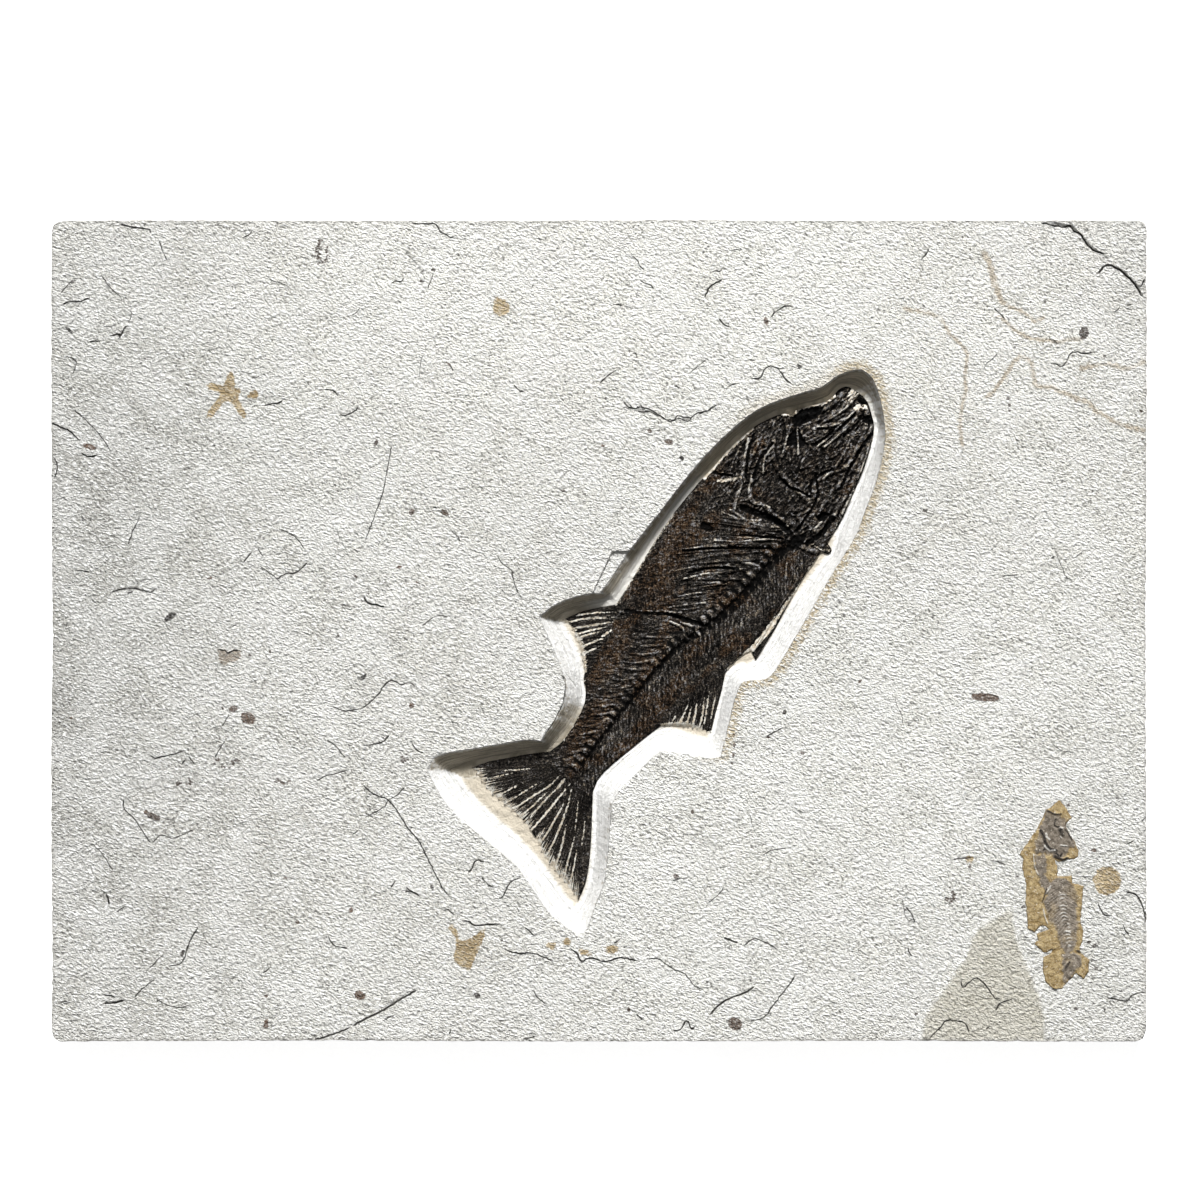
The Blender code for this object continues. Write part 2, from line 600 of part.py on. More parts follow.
# Layers that stand a little above the face, in the plate's own frame.
CORNER_LAYER = [(244, 229), (257, 225.5), (263, 224.4), (268, 219), (273, 213), (283, 207), (281, 202.5),
                (289, 200.5), (295, 195.5), (300, 190.5), (306, 196)]
LOWER_LAYER = [(248.5, -229.5), (249, -216), (246, -203), (239.5, -187), (233, -171), (231.5, -160),
(230.6, -152.4),
               (219, -159), (207, -168), (203, -180), (190, -200), (180, -213), (178, -229.5)]
STEP_RUN = 1.6

END = SLAB_LENGTH / 2
BACK = SLAB_WIDTH / 2
PLATE_EDGE = [
    [(6.8 - END, -BACK), (-150, 0.8 - BACK), (0, -BACK), (160, 0.8 - BACK), (END - 8.8, -BACK)],
    [(END - 8.8, -BACK), (END - 3.8, 1.8 - BACK), (END - 0.8, 7.6 - BACK)],
    [(END - 0.8, 7.6 - BACK), (END, -120), (END - 0.8, 0), (END, 120), (END - 0.2, BACK - 5.6)],
    [(END - 0.2, BACK - 5.6), (END - 2.3, BACK - 1.4), (END - 7.8, BACK)],
    [(END - 7.8, BACK), (160, BACK - 0.7), (0, BACK), (-160, BACK - 0.8), (10.8 - END, BACK - 0.6)],
    [(10.8 - END, BACK - 0.6), (4.3 - END, BACK - 4.1), (1.0 - END, BACK - 12.6)],
    [(1.0 - END, BACK - 12.6), (-END, 90), (1.0 - END, 0), (-END, -110), (0.6 - END, 6.6 - BACK)],
    [(0.6 - END, 6.6 - BACK), (2.8 - END, 2.2 - BACK), (6.8 - END, -BACK)],
]
# How far inside its edge the plate's face ends, and how far its side is chipped back at most.
FACE_INSET = 1.2
EDGE_CHIP = 1.3
# The rough rings of points round the side: (least chip, lowest, highest).
SIDE_RINGS = ((0.0, 14.0, 19.0), (0.0, 6.0, 11.0), (0.2, 1.5, 3.0))
# How far a layer's edge stops short of the face's.
LAYER_MARGIN = 0.8


SWELL_HEIGHT = 0.12
# How far the filling points of the plate keep from its edge, from the recess and from the pocket.
PLATE_MARGINS = (5.0, 4.0, 3.0)


def low_swell(points):
    """The plate's slight unevenness, from 0 down to about -0.5 mm."""
    x, y = points.T
    swell = np.sin(x / 47 + 0.6) * np.cos(y / 39 - 0.4)
    swell += 0.6 * np.sin(x / 23 - y / 31)
    swell += 0.4 * np.cos(x / 17 + y / 13)
    return SWELL_HEIGHT * (swell - 2.0)


def layer_share(points, layer):
    """How much of a raised layer stands at each point: 1 on it, falling to 0 over a short run at its edge."""
    depth = distance_to_outline(points, layer)
    return np.where(inside(points, layer), np.clip(depth / STEP_RUN, 0, 1), 0)


def plate_heights(points, rim, foot, ledge, corner, lower, pocket):
    heights = FACE_Z + low_swell(points)
    for layer in (corner, lower):
        share = layer_share(points, layer)
        heights = heights * (1 - share) + SLAB_THICKNESS * share
    in_pocket = inside(points, pocket) | (distance_to_outline(points, pocket) < MERGE)
    heights = np.where(in_pocket, POCKET_Z, heights)
    depth = np.where(inside(points, ledge), distance_to_outline(points, ledge), 0)
    heights = heights - LEDGE_DEPTH * np.clip(depth / LEDGE_RUN, 0, 1)
    to_rim = distance_to_outline(points, rim)
    to_foot = distance_to_outline(points, foot)
    on_floor = inside(points, foot) | (to_foot < MERGE)
    down = np.where(inside(points, rim), to_rim / np.maximum(to_rim + to_foot, 1e-6), 0)
    heights = heights + (FLOOR_Z - heights) * down
    return np.where(on_floor, FLOOR_Z, heights)


def build_slab(material):
    edge = closed_outline(PLATE_EDGE, PLATE_STEP)
    patch = shrunk(edge, FACE_INSET)
    rim = placed(closed_outline(RECESS_RIM, RECESS_STEP), SNOUT, FISH_HEADING)
    foot = placed(closed_outline(RECESS_FOOT, RECESS_STEP), SNOUT, FISH_HEADING)
    ledge = placed(LEDGE, SNOUT, FISH_HEADING)
    corner = np.array(CORNER_LAYER + [(306, 230)], float)
    lower = np.array(LOWER_LAYER, float)
    small = placed(closed_outline(SMALL_OUTLINE, FISH_STEP), SMALL_SNOUT, SMALL_HEADING)
    pocket = shrunk(small, -POCKET_CLEARANCE)
    lip = shrunk(small, -POCKET_CLEARANCE - POCKET_WALL_RUN)
    lines = [closed(line) for line in (rim, foot, ledge, shrunk(ledge, LEDGE_RUN), pocket, lip)]
    for layer in (corner, lower):
        for line in (layer, shrunk(layer, STEP_RUN)):
            kept = clipped(subdivided(closed(line), LAYER_POINTS_STEP), patch, LAYER_MARGIN)
            if len(kept) > 1:
                lines.append(kept)
    edge_margin, recess_margin, pocket_margin = PLATE_MARGINS
    filling = lattice(patch, PLATE_LATTICE, edge_margin)
    clear = distance_to_outline(filling, rim) > recess_margin
    clear &= distance_to_outline(filling, pocket) > pocket_margin
    clear &= ~(inside(filling, rim) & ~inside(filling, foot))
    flat, faces = triangulate(patch, lines, filling[clear])
    heights = plate_heights(flat, rim, foot, ledge, corner, lower, pocket)
    loop = boundary_loop(faces)
    rough = np.random.default_rng(24)
    shoulder = heights[loop] - rough.uniform(0.9, 2.2, len(loop))
    rings = [(FACE_INSET - rough.uniform(0, 0.4, len(loop)), shoulder)]
    for least_chip, low, high in SIDE_RINGS:
        chip = rough.uniform(least_chip, EDGE_CHIP, len(loop))
        rings.append((FACE_INSET - chip, rough.uniform(low, high, len(loop))))
    rings.append((0.0, 0.0))
    return relief_object("limestone_slab", flat, faces, heights, rings, material)


# ---------------------------------------------------------------- materials and build

def stone_material(name, colour, roughness):
    material = bpy.data.materials.new(name)
    material.use_nodes = True
    shader = material.node_tree.nodes["Principled BSDF"]
    shader.inputs["Base Color"].default_value = (*colour, 1.0)
    shader.inputs["Roughness"].default_value = roughness
    shader.inputs["Metallic"].default_value = 0.0
    return material


def main():
    for existing in list(bpy.data.objects):
        bpy.data.objects.remove(existing, do_unlink=True)
    build_slab(stone_material("limestone", (0.63, 0.62, 0.58), 0.9))
    build_fossil_fish(stone_material("fossil_bone", (0.045, 0.035, 0.028), 0.55))
    build_small_fish(stone_material("small_fossil_bone", (0.26, 0.21, 0.14), 0.75))


main()
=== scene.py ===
import math
from types import SimpleNamespace

import bpy
import numpy as np
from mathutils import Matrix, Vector
from mathutils.geometry import delaunay_2d_cdt
from mathutils.kdtree import KDTree


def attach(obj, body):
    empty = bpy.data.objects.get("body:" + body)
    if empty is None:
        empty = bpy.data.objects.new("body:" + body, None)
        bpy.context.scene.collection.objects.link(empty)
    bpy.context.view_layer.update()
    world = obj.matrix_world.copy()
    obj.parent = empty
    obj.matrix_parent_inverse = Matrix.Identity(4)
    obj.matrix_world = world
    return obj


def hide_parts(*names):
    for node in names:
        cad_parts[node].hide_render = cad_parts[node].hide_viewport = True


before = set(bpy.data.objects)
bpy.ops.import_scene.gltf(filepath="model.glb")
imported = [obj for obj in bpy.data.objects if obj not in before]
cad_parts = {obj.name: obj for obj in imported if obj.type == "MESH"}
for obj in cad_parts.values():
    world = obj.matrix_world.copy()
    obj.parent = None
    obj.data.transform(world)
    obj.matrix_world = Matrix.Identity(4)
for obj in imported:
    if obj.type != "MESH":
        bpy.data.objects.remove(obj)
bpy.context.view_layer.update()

MM = 0.001

# ---------------------------------------------------------------- sizes, in millimetres

PLATE_TOP = 25.0
FACE_Z = 24.1
FLOOR_Z = 15.1
FACE_STEP = 2.07
MARK_STEP = 0.7
WALL_STEP = 1.05
FRINGE_STEP = 1.2
HIDDEN_STEP = 7.0
UNDERSIDE_STEP = 8.0
EDGE_STEP = 2.0
FISH_STEP = 0.5
SMALL_STEP = 0.45
CRACK_STEP = 1.5
JOIN = 0.06
EDGE_LEVELS = (23.4, 22.0, 20.2, 18.6, 16.4, 14.0, 12.2, 9.8, 8.0, 5.6, 3.6, 1.6, 0.5, 0.0)

SNOUT = (149.5, 140.4)
FISH_HEADING = math.radians(234.0)
SMALL_SNOUT = (255.5, -97.0)
SMALL_HEADING = math.radians(-83.0)

# ---------------------------------------------------------------- plane geometry


def placed(points, origin, heading):
    """Points of a fish's own frame, as points of the plate."""
    a, b = np.asarray(points, float).T
    x = origin[0] + a * math.cos(heading) - b * math.sin(heading)
    y = origin[1] + a * math.sin(heading) + b * math.cos(heading)
    return np.column_stack([x, y])


def framed(points, origin, heading):
    """Points of the plate, in a fish's own frame."""
    x, y = (np.asarray(points, float) - np.array(origin)).T
    a = x * math.cos(heading) + y * math.sin(heading)
    b = y * math.cos(heading) - x * math.sin(heading)
    return np.column_stack([a, b])


def smooth(points, step):
    """A Catmull-Rom curve through the points, sampled about every step. It keeps both ends."""
    points = np.asarray(points, float)
    if len(points) < 3:
        return straight(points, step)
    before = np.vstack([2 * points[0] - points[1], points, 2 * points[-1] - points[-2]])
    curve = [points[:1]]
    for p0, p1, p2, p3 in zip(before[:-3], before[1:-2], before[2:-1], before[3:]):
        count = max(1, round(np.linalg.norm(p2 - p1) / step))
        t = (np.arange(1, count + 1) / count)[:, None]
        pull = 2 * p0 - 5 * p1 + 4 * p2 - p3
        swing = 3 * p1 - p0 - 3 * p2 + p3
        curve.append(p1 + 0.5 * t * (p2 - p0) + 0.5 * t ** 2 * pull + 0.5 * t ** 3 * swing)
    return np.vstack(curve)


def straight(points, step):
    """The same straight runs, with points about every step."""
    points = np.asarray(points, float)
    line = [points[:1]]
    for p, q in zip(points[:-1], points[1:]):
        count = max(1, round(np.linalg.norm(q - p) / step))
        line.append(p + (np.arange(1, count + 1) / count)[:, None] * (q - p))
    return np.vstack(line)


def closed_outline(runs, step):
    """One closed outline from smooth runs that meet at corners."""
    curve = np.vstack([smooth(run, step)[:-1] for run in runs])
    keep = np.linalg.norm(curve - np.roll(curve, 1, axis=0), axis=1) > 0.05
    return curve[keep]


def ring(outline):
    """The outline with its first point again at the end."""
    return np.vstack([outline, outline[:1]])


def to_line(points, line, reach):
    """Each point's distance from a polyline up to reach, its place along it from 0 to 1, and its side."""
    best = np.full(len(points), float(reach))
    along = np.zeros(len(points))
    side = np.zeros(len(points))
    boxed = (points > line.min(axis=0) - reach) & (points < line.max(axis=0) + reach)
    close = np.flatnonzero(boxed.all(axis=1))
    if not len(close):
        return best, along, side
    spots = points[close]
    x, y = spots.T
    nearest = np.full(len(close), float(reach))
    share = np.zeros(len(close))
    turn = np.zeros(len(close))
    lengths = np.linalg.norm(np.diff(line, axis=0), axis=1)
    travelled = np.concatenate([[0], np.cumsum(lengths)])
    for start, end, length, passed in zip(line[:-1], line[1:], lengths, travelled):
        low = np.minimum(start, end) - reach
        high = np.maximum(start, end) + reach
        near = np.flatnonzero((x > low[0]) & (x < high[0]) & (y > low[1]) & (y < high[1]))
        if not len(near) or length < 1e-9:
            continue
        run = (end - start) / length
        way = spots[near] - start
        t = np.clip(way @ run, 0, length)
        off = way - t[:, None] * run
        gap = np.hypot(off[:, 0], off[:, 1])
        nearer = gap < nearest[near]
        chosen = near[nearer]
        nearest[chosen] = gap[nearer]
        share[chosen] = (passed + t[nearer]) / travelled[-1]
        turn[chosen] = np.sign(run[0] * way[nearer, 1] - run[1] * way[nearer, 0])
    best[close] = nearest
    along[close] = share
    side[close] = turn
    return best, along, side


def inside(points, outline):
    """Whether each point lies in a closed outline."""
    low = outline.min(axis=0)
    high = outline.max(axis=0)
    found = np.zeros(len(points), bool)
    near = np.flatnonzero(((points >= low) & (points <= high)).all(axis=1))
    x, y = points[near].T
    hit = np.zeros(len(near), bool)
    for (x0, y0), (x1, y1) in zip(outline, np.roll(outline, -1, axis=0)):
        if y0 == y1:
            continue
        crosses = (y0 > y) != (y1 > y)
        hit[crosses] ^= x[crosses] < (x1 - x0) * (y[crosses] - y0) / (y1 - y0) + x0
    found[near] = hit
    return found


def depth_in(points, outline, reach):
    """Signed distance from an outline: positive inside it, and never past reach."""
    gap = to_line(points, ring(outline), reach)[0]
    return np.where(inside(points, outline), gap, -gap)


def offset(line, distance):
    """The polyline moved to its left by a distance, which may change along it."""
    heading = np.gradient(line, axis=0)
    heading /= np.maximum(np.linalg.norm(heading, axis=1)[:, None], 1e-9)
    normal = np.column_stack([-heading[:, 1], heading[:, 0]])
    return line + normal * np.reshape(np.broadcast_to(distance, len(line)), (-1, 1))


def turning(outline):
    """1 for an outline that runs anticlockwise, -1 for one that runs clockwise."""
    x, y = outline.T
    return 1 if np.sum(x * np.roll(y, -1) - y * np.roll(x, -1)) > 0 else -1


def lattice(low, high, step, seed, jitter=0.28):
    """Shaken points in rows over a box, every other row shifted."""
    rough = np.random.default_rng(seed)
    rows = np.arange(low[1], high[1], step * math.sqrt(0.75))
    columns = np.arange(low[0], high[0], step)
    x = np.tile(columns, (len(rows), 1))
    x[1::2] += step / 2
    y = np.repeat(rows[:, None], len(columns), axis=1)
    points = np.column_stack([x.ravel(), y.ravel()])
    return points + rough.uniform(-jitter, jitter, points.shape) * step


def away_from(points, outline, gap, reach=2.0):
    """The points that keep a gap from an outline."""
    return points[to_line(points, ring(outline), reach)[0] > gap]


def clear_of(points, lines, gap):
    """Whether each point keeps a gap from the points of some lines."""
    marks = np.vstack([straight(line, 0.9) for line in lines])
    tree = KDTree(len(marks))
    for index, (x, y) in enumerate(marks):
        tree.insert((x, y, 0), index)
    tree.balance()
    return np.array([tree.find((x, y, 0))[2] > gap for x, y in points])


def noise(x, y, seed):
    """Smooth gradient noise, about -1 to 1, with features one unit across."""
    size = 256
    turn = np.random.default_rng(seed).uniform(0, 2 * math.pi, (size, size))
    across = np.cos(turn)
    up = np.sin(turn)
    i = np.floor(x).astype(int)
    j = np.floor(y).astype(int)
    fx = x - i
    fy = y - j
    ease_x = fx ** 3 * (fx * (6 * fx - 15) + 10)
    ease_y = fy ** 3 * (fy * (6 * fy - 15) + 10)
    total = 0.0
    for di, weight_x in ((0, 1 - ease_x), (1, ease_x)):
        for dj, weight_y in ((0, 1 - ease_y), (1, ease_y)):
            cell = ((i + di) % size, (j + dj) % size)
            total = total + weight_x * weight_y * (across[cell] * (fx - di) + up[cell] * (fy - dj))
    return 1.5 * total


def wobbled(line, size, much, seed):
    """The line shaken by noise with features of one size."""
    x, y = line.T / size
    return line + much * np.column_stack([noise(x, y, seed), noise(x, y, seed + 1)])


def fractal(x, y, seed, octaves=3, gain=0.5):
    """Noise with finer and fainter noise on top of it."""
    total = 0.0
    scale = 1.0
    for octave in range(octaves):
        spread = 2.03 ** octave
        total = total + scale * noise(x * spread + 17.3 * octave, y * spread - 9.1 * octave, seed + octave)
        scale *= gain
    return total


def ease(value, low, high):
    """0 below low, 1 above high, smooth between. It falls instead when low is above high."""
    t = np.clip((value - low) / (high - low), 0, 1)
    return t * t * (3 - 2 * t)


# ---------------------------------------------------------------- meshes


def triangulate(outline, lines, filling, gap=JOIN):
    """Triangles over an outline that keep its edges and the lines, and where each outline point went."""
    chunks = [outline]
    count = len(outline)
    edges = [(i, (i + 1) % count) for i in range(count)]
    for line in lines:
        edges += [(count + i, count + i + 1) for i in range(len(line) - 1)]
        chunks.append(line)
        count += len(line)
    chunks.append(filling)
    vertices = [Vector(p) for p in np.vstack(chunks)]
    flat, _, faces, sources, *_ = delaunay_2d_cdt(vertices, edges, [], 0, gap)
    flat = np.array([tuple(v) for v in flat])
    faces = np.array(faces)
    faces = faces[inside(flat[faces].mean(axis=1), outline)]
    a, b, c = (flat[faces[:, k]] for k in range(3))
    turn = (b[:, 0] - a[:, 0]) * (c[:, 1] - a[:, 1]) - (b[:, 1] - a[:, 1]) * (c[:, 0] - a[:, 0])
    faces = faces[np.abs(turn) > 1e-7]
    used, faces = np.unique(faces, return_inverse=True)
    faces = faces.reshape(-1, 3)
    place = {source: new for new, old in enumerate(used) for source in sources[old] if source < len(outline)}
    return flat[used], faces, place


def boundary_loop(faces):
    """The indices round the rim of a triangulated patch, in the direction of its faces."""
    edges = np.concatenate([faces[:, [0, 1]], faces[:, [1, 2]], faces[:, [2, 0]]])
    both = {(int(a), int(b)) for a, b in edges}
    following = {a: b for a, b in both if (b, a) not in both}
    loop = [min(following)]
    while following[loop[-1]] != loop[0]:
        loop.append(following[loop[-1]])
    return loop


def band(upper, lower):
    """Triangles between two closed loops of the same count, the upper one first."""
    upper = np.asarray(upper)
    lower = np.asarray(lower)
    after_upper = np.roll(upper, -1)
    after_lower = np.roll(lower, -1)
    first = np.column_stack([after_upper, upper, lower])
    second = np.column_stack([after_upper, lower, after_lower])
    return np.vstack([first, second])


def mesh_object(name, points, faces, attributes, material, sharp):
    """A smooth-shaded mesh object with its sharp creases marked and named numbers on its points."""
    data = bpy.data.meshes.new(name)
    data.vertices.add(len(points))
    data.vertices.foreach_set("co", (points * MM).astype(np.float32).ravel())
    data.loops.add(faces.size)
    data.loops.foreach_set("vertex_index", faces.astype(np.int32).ravel())
    data.polygons.add(len(faces))
    data.polygons.foreach_set("loop_start", np.arange(0, faces.size, 3, dtype=np.int32))
    data.update(calc_edges=True)
    data.validate()
    data.polygons.foreach_set("use_smooth", np.ones(len(data.polygons), bool))
    data.set_sharp_from_angle(angle=math.radians(sharp))
    for key, values in attributes.items():
        layer = data.attributes.new(key, "FLOAT", "POINT")
        layer.data.foreach_set("value", np.asarray(values, np.float32))
    data.materials.append(material)
    made = bpy.data.objects.new(name, data)
    bpy.context.scene.collection.objects.link(made)
    return made


def film_object(name, flat, faces, heights, underside, attributes, material, sharp, origin, heading):
    """A closed relief: its top, a skirt and a flat underside, placed from a fish's own frame."""
    loop = boundary_loop(faces)
    count = len(flat)
    spots = placed(flat, origin, heading)
    skirt = np.column_stack([spots[loop], np.full(len(loop), underside)])
    points = np.vstack([np.column_stack([spots, heights]), skirt])
    below = np.arange(count, count + len(loop))
    under_flat, under_faces, place = triangulate(flat[loop], [], np.zeros((0, 2)))
    back = np.full(len(under_flat), -1)
    for source, new in place.items():
        back[new] = below[source]
    under = back[under_faces][:, ::-1]
    everything = np.vstack([faces, band(loop, below), under])
    attributes = {key: np.concatenate([values, values[loop]]) for key, values in attributes.items()}
    return mesh_object(name, points, everything, attributes, material, sharp)


# ---------------------------------------------------------------- node graphs


class Graph:
    """Short calls for a material's nodes. Any input takes a number, a colour or another node's output."""

    def __init__(self, name):
        self.material = bpy.data.materials.new(name)
        self.material.use_nodes = True
        self.tree = self.material.node_tree
        self.shader = self.tree.nodes["Principled BSDF"]

    def put(self, value, socket):
        if isinstance(value, bpy.types.NodeSocket):
            self.tree.links.new(value, socket)
        elif isinstance(value, tuple) and len(value) == 3 and socket.type == "RGBA":
            socket.default_value = (*value, 1.0)
        else:
            socket.default_value = value

    def node(self, kind, out=0, settings=None, **inputs):
        made = self.tree.nodes.new(kind)
        for key, value in (settings or {}).items():
            setattr(made, key, value)
        for key, value in inputs.items():
            numbered = key[0] == "i" and key[1:].isdigit()
            self.put(value, made.inputs[int(key[1:]) if numbered else key])
        return made.outputs[out]

    def where(self):
        return self.node("ShaderNodeTexCoord", out="Object")

    def attribute(self, name):
        return self.node("ShaderNodeAttribute", out="Fac", settings={"attribute_name": name})

    def point(self, **parts):
        return self.node("ShaderNodeCombineXYZ", **parts)

    def math(self, operation, a, b):
        return self.node("ShaderNodeMath", settings={"operation": operation}, i0=a, i1=b)

    def times(self, a, b):
        return self.math("MULTIPLY", a, b)

    def plus(self, a, b):
        return self.math("ADD", a, b)

    def minus(self, a, b):
        return self.math("SUBTRACT", a, b)

    def larger(self, a, b):
        return self.math("MAXIMUM", a, b)

    def stretch(self, vector, size, heading=0.0):
        """The vector measured in grains of this size, whose length runs along this heading in degrees."""
        return self.node("ShaderNodeMapping", settings={"vector_type": "TEXTURE"}, Vector=vector,
                         Rotation=(0, 0, math.radians(heading)), Scale=size)

    def noise(self, vector, scale=1.0, detail=2.0, roughness=0.5, distortion=0.0):
        return self.node("ShaderNodeTexNoise", out="Fac", Vector=vector, Scale=scale, Detail=detail,
                         Roughness=roughness, Distortion=distortion)

    def ease(self, value, low, high, start=0.0, end=1.0):
        return self.node("ShaderNodeMapRange", settings={"interpolation_type": "SMOOTHSTEP"},
                         i0=value, i1=low, i2=high, i3=start, i4=end)

    def scale(self, value, low, high, start=0.0, end=1.0):
        return self.node("ShaderNodeMapRange", i0=value, i1=low, i2=high, i3=start, i4=end)

    def mix(self, share, a, b, blend="MIX"):
        made = self.tree.nodes.new("ShaderNodeMix")
        made.data_type = "RGBA"
        made.blend_type = blend
        self.put(share, made.inputs[0])
        self.put(a, made.inputs[6])
        self.put(b, made.inputs[7])
        return made.outputs[2]

    def blend(self, share, a, b):
        """Between two numbers, as mix is between two colours."""
        return self.node("ShaderNodeMix", i0=share, i2=a, i3=b)

    def tint(self, colour, by):
        return self.mix(1.0, colour, by, "MULTIPLY")

    def grey(self, value):
        return self.node("ShaderNodeCombineColor", i0=value, i1=value, i2=value)

    def bump(self, height, distance):
        return self.node("ShaderNodeBump", Height=height, Distance=distance, Strength=1.0)

    def finish(self, colour, roughness, normal, **scalars):
        self.put(colour, self.shader.inputs["Base Color"])
        self.put(roughness, self.shader.inputs["Roughness"])
        self.put(normal, self.shader.inputs["Normal"])
        for key, value in scalars.items():
            self.shader.inputs[key.replace("_", " ")].default_value = value
        return self.material


# ---------------------------------------------------------------- the plate's outlines

PLATE_EDGE = [
    [(-299, -228.4), (-240, -228.2), (-150, -227.9), (-60, -228.3), (0, -228.4), (80, -228.2), (160, -228.0),
     (240, -228.4), (298, -228.4)],
    [(298, -228.4), (302.4, -226.8), (304.3, -222)],
    [(304.3, -222), (304.6, -160), (304.3, -60), (304.1, 0), (304.5, 70), (304.7, 140), (304.6, 223)],
    [(304.6, 223), (303, 226.9), (299, 228.2)],
    [(299, 228.2), (220, 228.4), (160, 228.2), (90, 228.3), (72, 228.48), (20, 228.5), (-22, 228.45),
     (-40, 228.2), (-160, 228.2), (-240, 228.4), (-299, 228.2)],
    [(-299, 228.2), (-303.2, 226), (-304.5, 221)],
    [(-304.5, 221), (-304.6, 150), (-304.5, 90), (-304.0, 0), (-304.6, -60), (-304.6, -110), (-304.1, -170),
     (-304.4, -223)],
    [(-304.4, -223), (-302.8, -226.8), (-299, -228.4)],
]

# The recess, in the large fish's frame: where its walls meet the face, and where they meet its floor.
RECESS_RIM = [
    [(-1.5, 2), (-2, -4), (1, -9), (8, -14), (19, -18), (27, -24), (35, -30), (45, -36.5), (56, -41.4),
     (75, -46), (98, -48.8), (130, -50), (156, -51)],
    [(156, -51), (170, -50.4), (184, -50)],
    [(184, -50), (188, -55), (195, -61), (204, -66.6), (215, -70)],
    [(215, -70), (220, -61), (226, -50.5), (235, -38), (243, -31.6), (255, -29.4), (270, -28.6)],
    [(270, -28.6), (275, -36.5), (290, -51), (300, -61), (308, -68.6), (313, -71), (320, -70)],
    [(320, -70), (324.5, -62), (328.7, -52), (331.5, -37), (333, -15), (334.5, 2), (340, 18), (345, 33),
     (345.5, 51)],
    [(345.5, 51), (339.5, 53.6), (328, 50.4), (314, 46.4), (303, 41), (291, 33.6), (275, 24)],
    [(275, 24), (265, 23), (255, 24.7), (240, 27.4), (235, 29)],
    [(235, 29), (230, 38), (225, 48), (222, 54), (218, 57.5)],
    [(218, 57.5), (212, 55), (200, 50), (190, 46), (181, 43.2), (176, 44.2), (171, 50), (165, 53.6),
     (150, 53), (120, 50), (97, 47.8), (75, 46), (60, 42), (45, 38), (31, 32.4), (20, 26.4), (10, 17.4),
     (3, 9.4), (-1.5, 2)],
]
RECESS_FOOT = [
    [(6.5, 4), (7, -3), (9.5, -8), (13, -11.2), (20, -12), (26, -15.5), (31, -19.6), (37, -24.6), (42, -29),
     (48, -33), (60, -38), (75, -41), (98, -43.6), (115, -44.8), (130, -45.2), (150, -43.8), (182, -41.4)],
    [(182, -41.4), (189, -47.4), (197, -54), (204, -59.4), (210, -62)],
    [(210, -62), (213, -55), (218, -45), (224, -36), (231, -29.4), (237, -24), (245, -21.4), (254, -20.4),
     (270, -21.6)],
    [(270, -21.6), (279, -30.6), (289, -40.6), (298, -49.4), (306, -55.6), (313, -60)],
    [(313, -60), (316, -52), (319.5, -40), (321.6, -25), (323, -10), (326, 6), (329.5, 19), (334, 33),
     (337, 44)],
    [(337, 44), (328, 43.6), (318, 40.6), (308, 35.4), (298, 29.4), (288, 22.4), (275, 13)],
    [(275, 13), (268, 11.4), (259, 12.6), (249, 15), (238, 18), (229, 20.4)],
    [(229, 20.4), (224, 27), (220, 38), (216, 47.6)],
    [(216, 47.6), (210, 47.2), (199, 42.8), (187, 37.6), (178, 35.4), (172, 37.4), (168, 42.4), (162, 44.4)],
    [(162, 44.4), (140, 42.6), (120, 41), (97, 41.8), (88, 41.6), (79, 38.4), (60, 34.4), (45, 30.8),
     (30, 26.2), (19, 21.4), (12.5, 14), (8, 9), (6.5, 4)],
]
# The flake missing beside the recess, in the large fish's frame.
LEDGE = [(153, -49), (156.5, -52.5), (161.5, -58.7), (187.6, -53.6), (189, -44), (152, -44)]
LEDGE_DEPTH = 1.4
LEDGE_RUN = 0.5

# Layers that stand a little above the face.
CORNER_LAYER = [(244, 229), (257, 225.5), (263, 224.4), (268, 219), (273, 213), (283, 207), (281, 202.5),
                (289, 200.5), (295, 195.5), (300, 190.5), (306, 196), (306, 230)]
LOWER_LAYER = [(248.5, -229.5), (249, -216), (246, -203), (239.5, -187), (233, -171), (231.5, -160),
               (230.6, -152.4), (219, -159), (207, -168), (203, -180), (190, -200), (180, -213),
               (178, -229.5)]
LAYER_RUN = 0.9

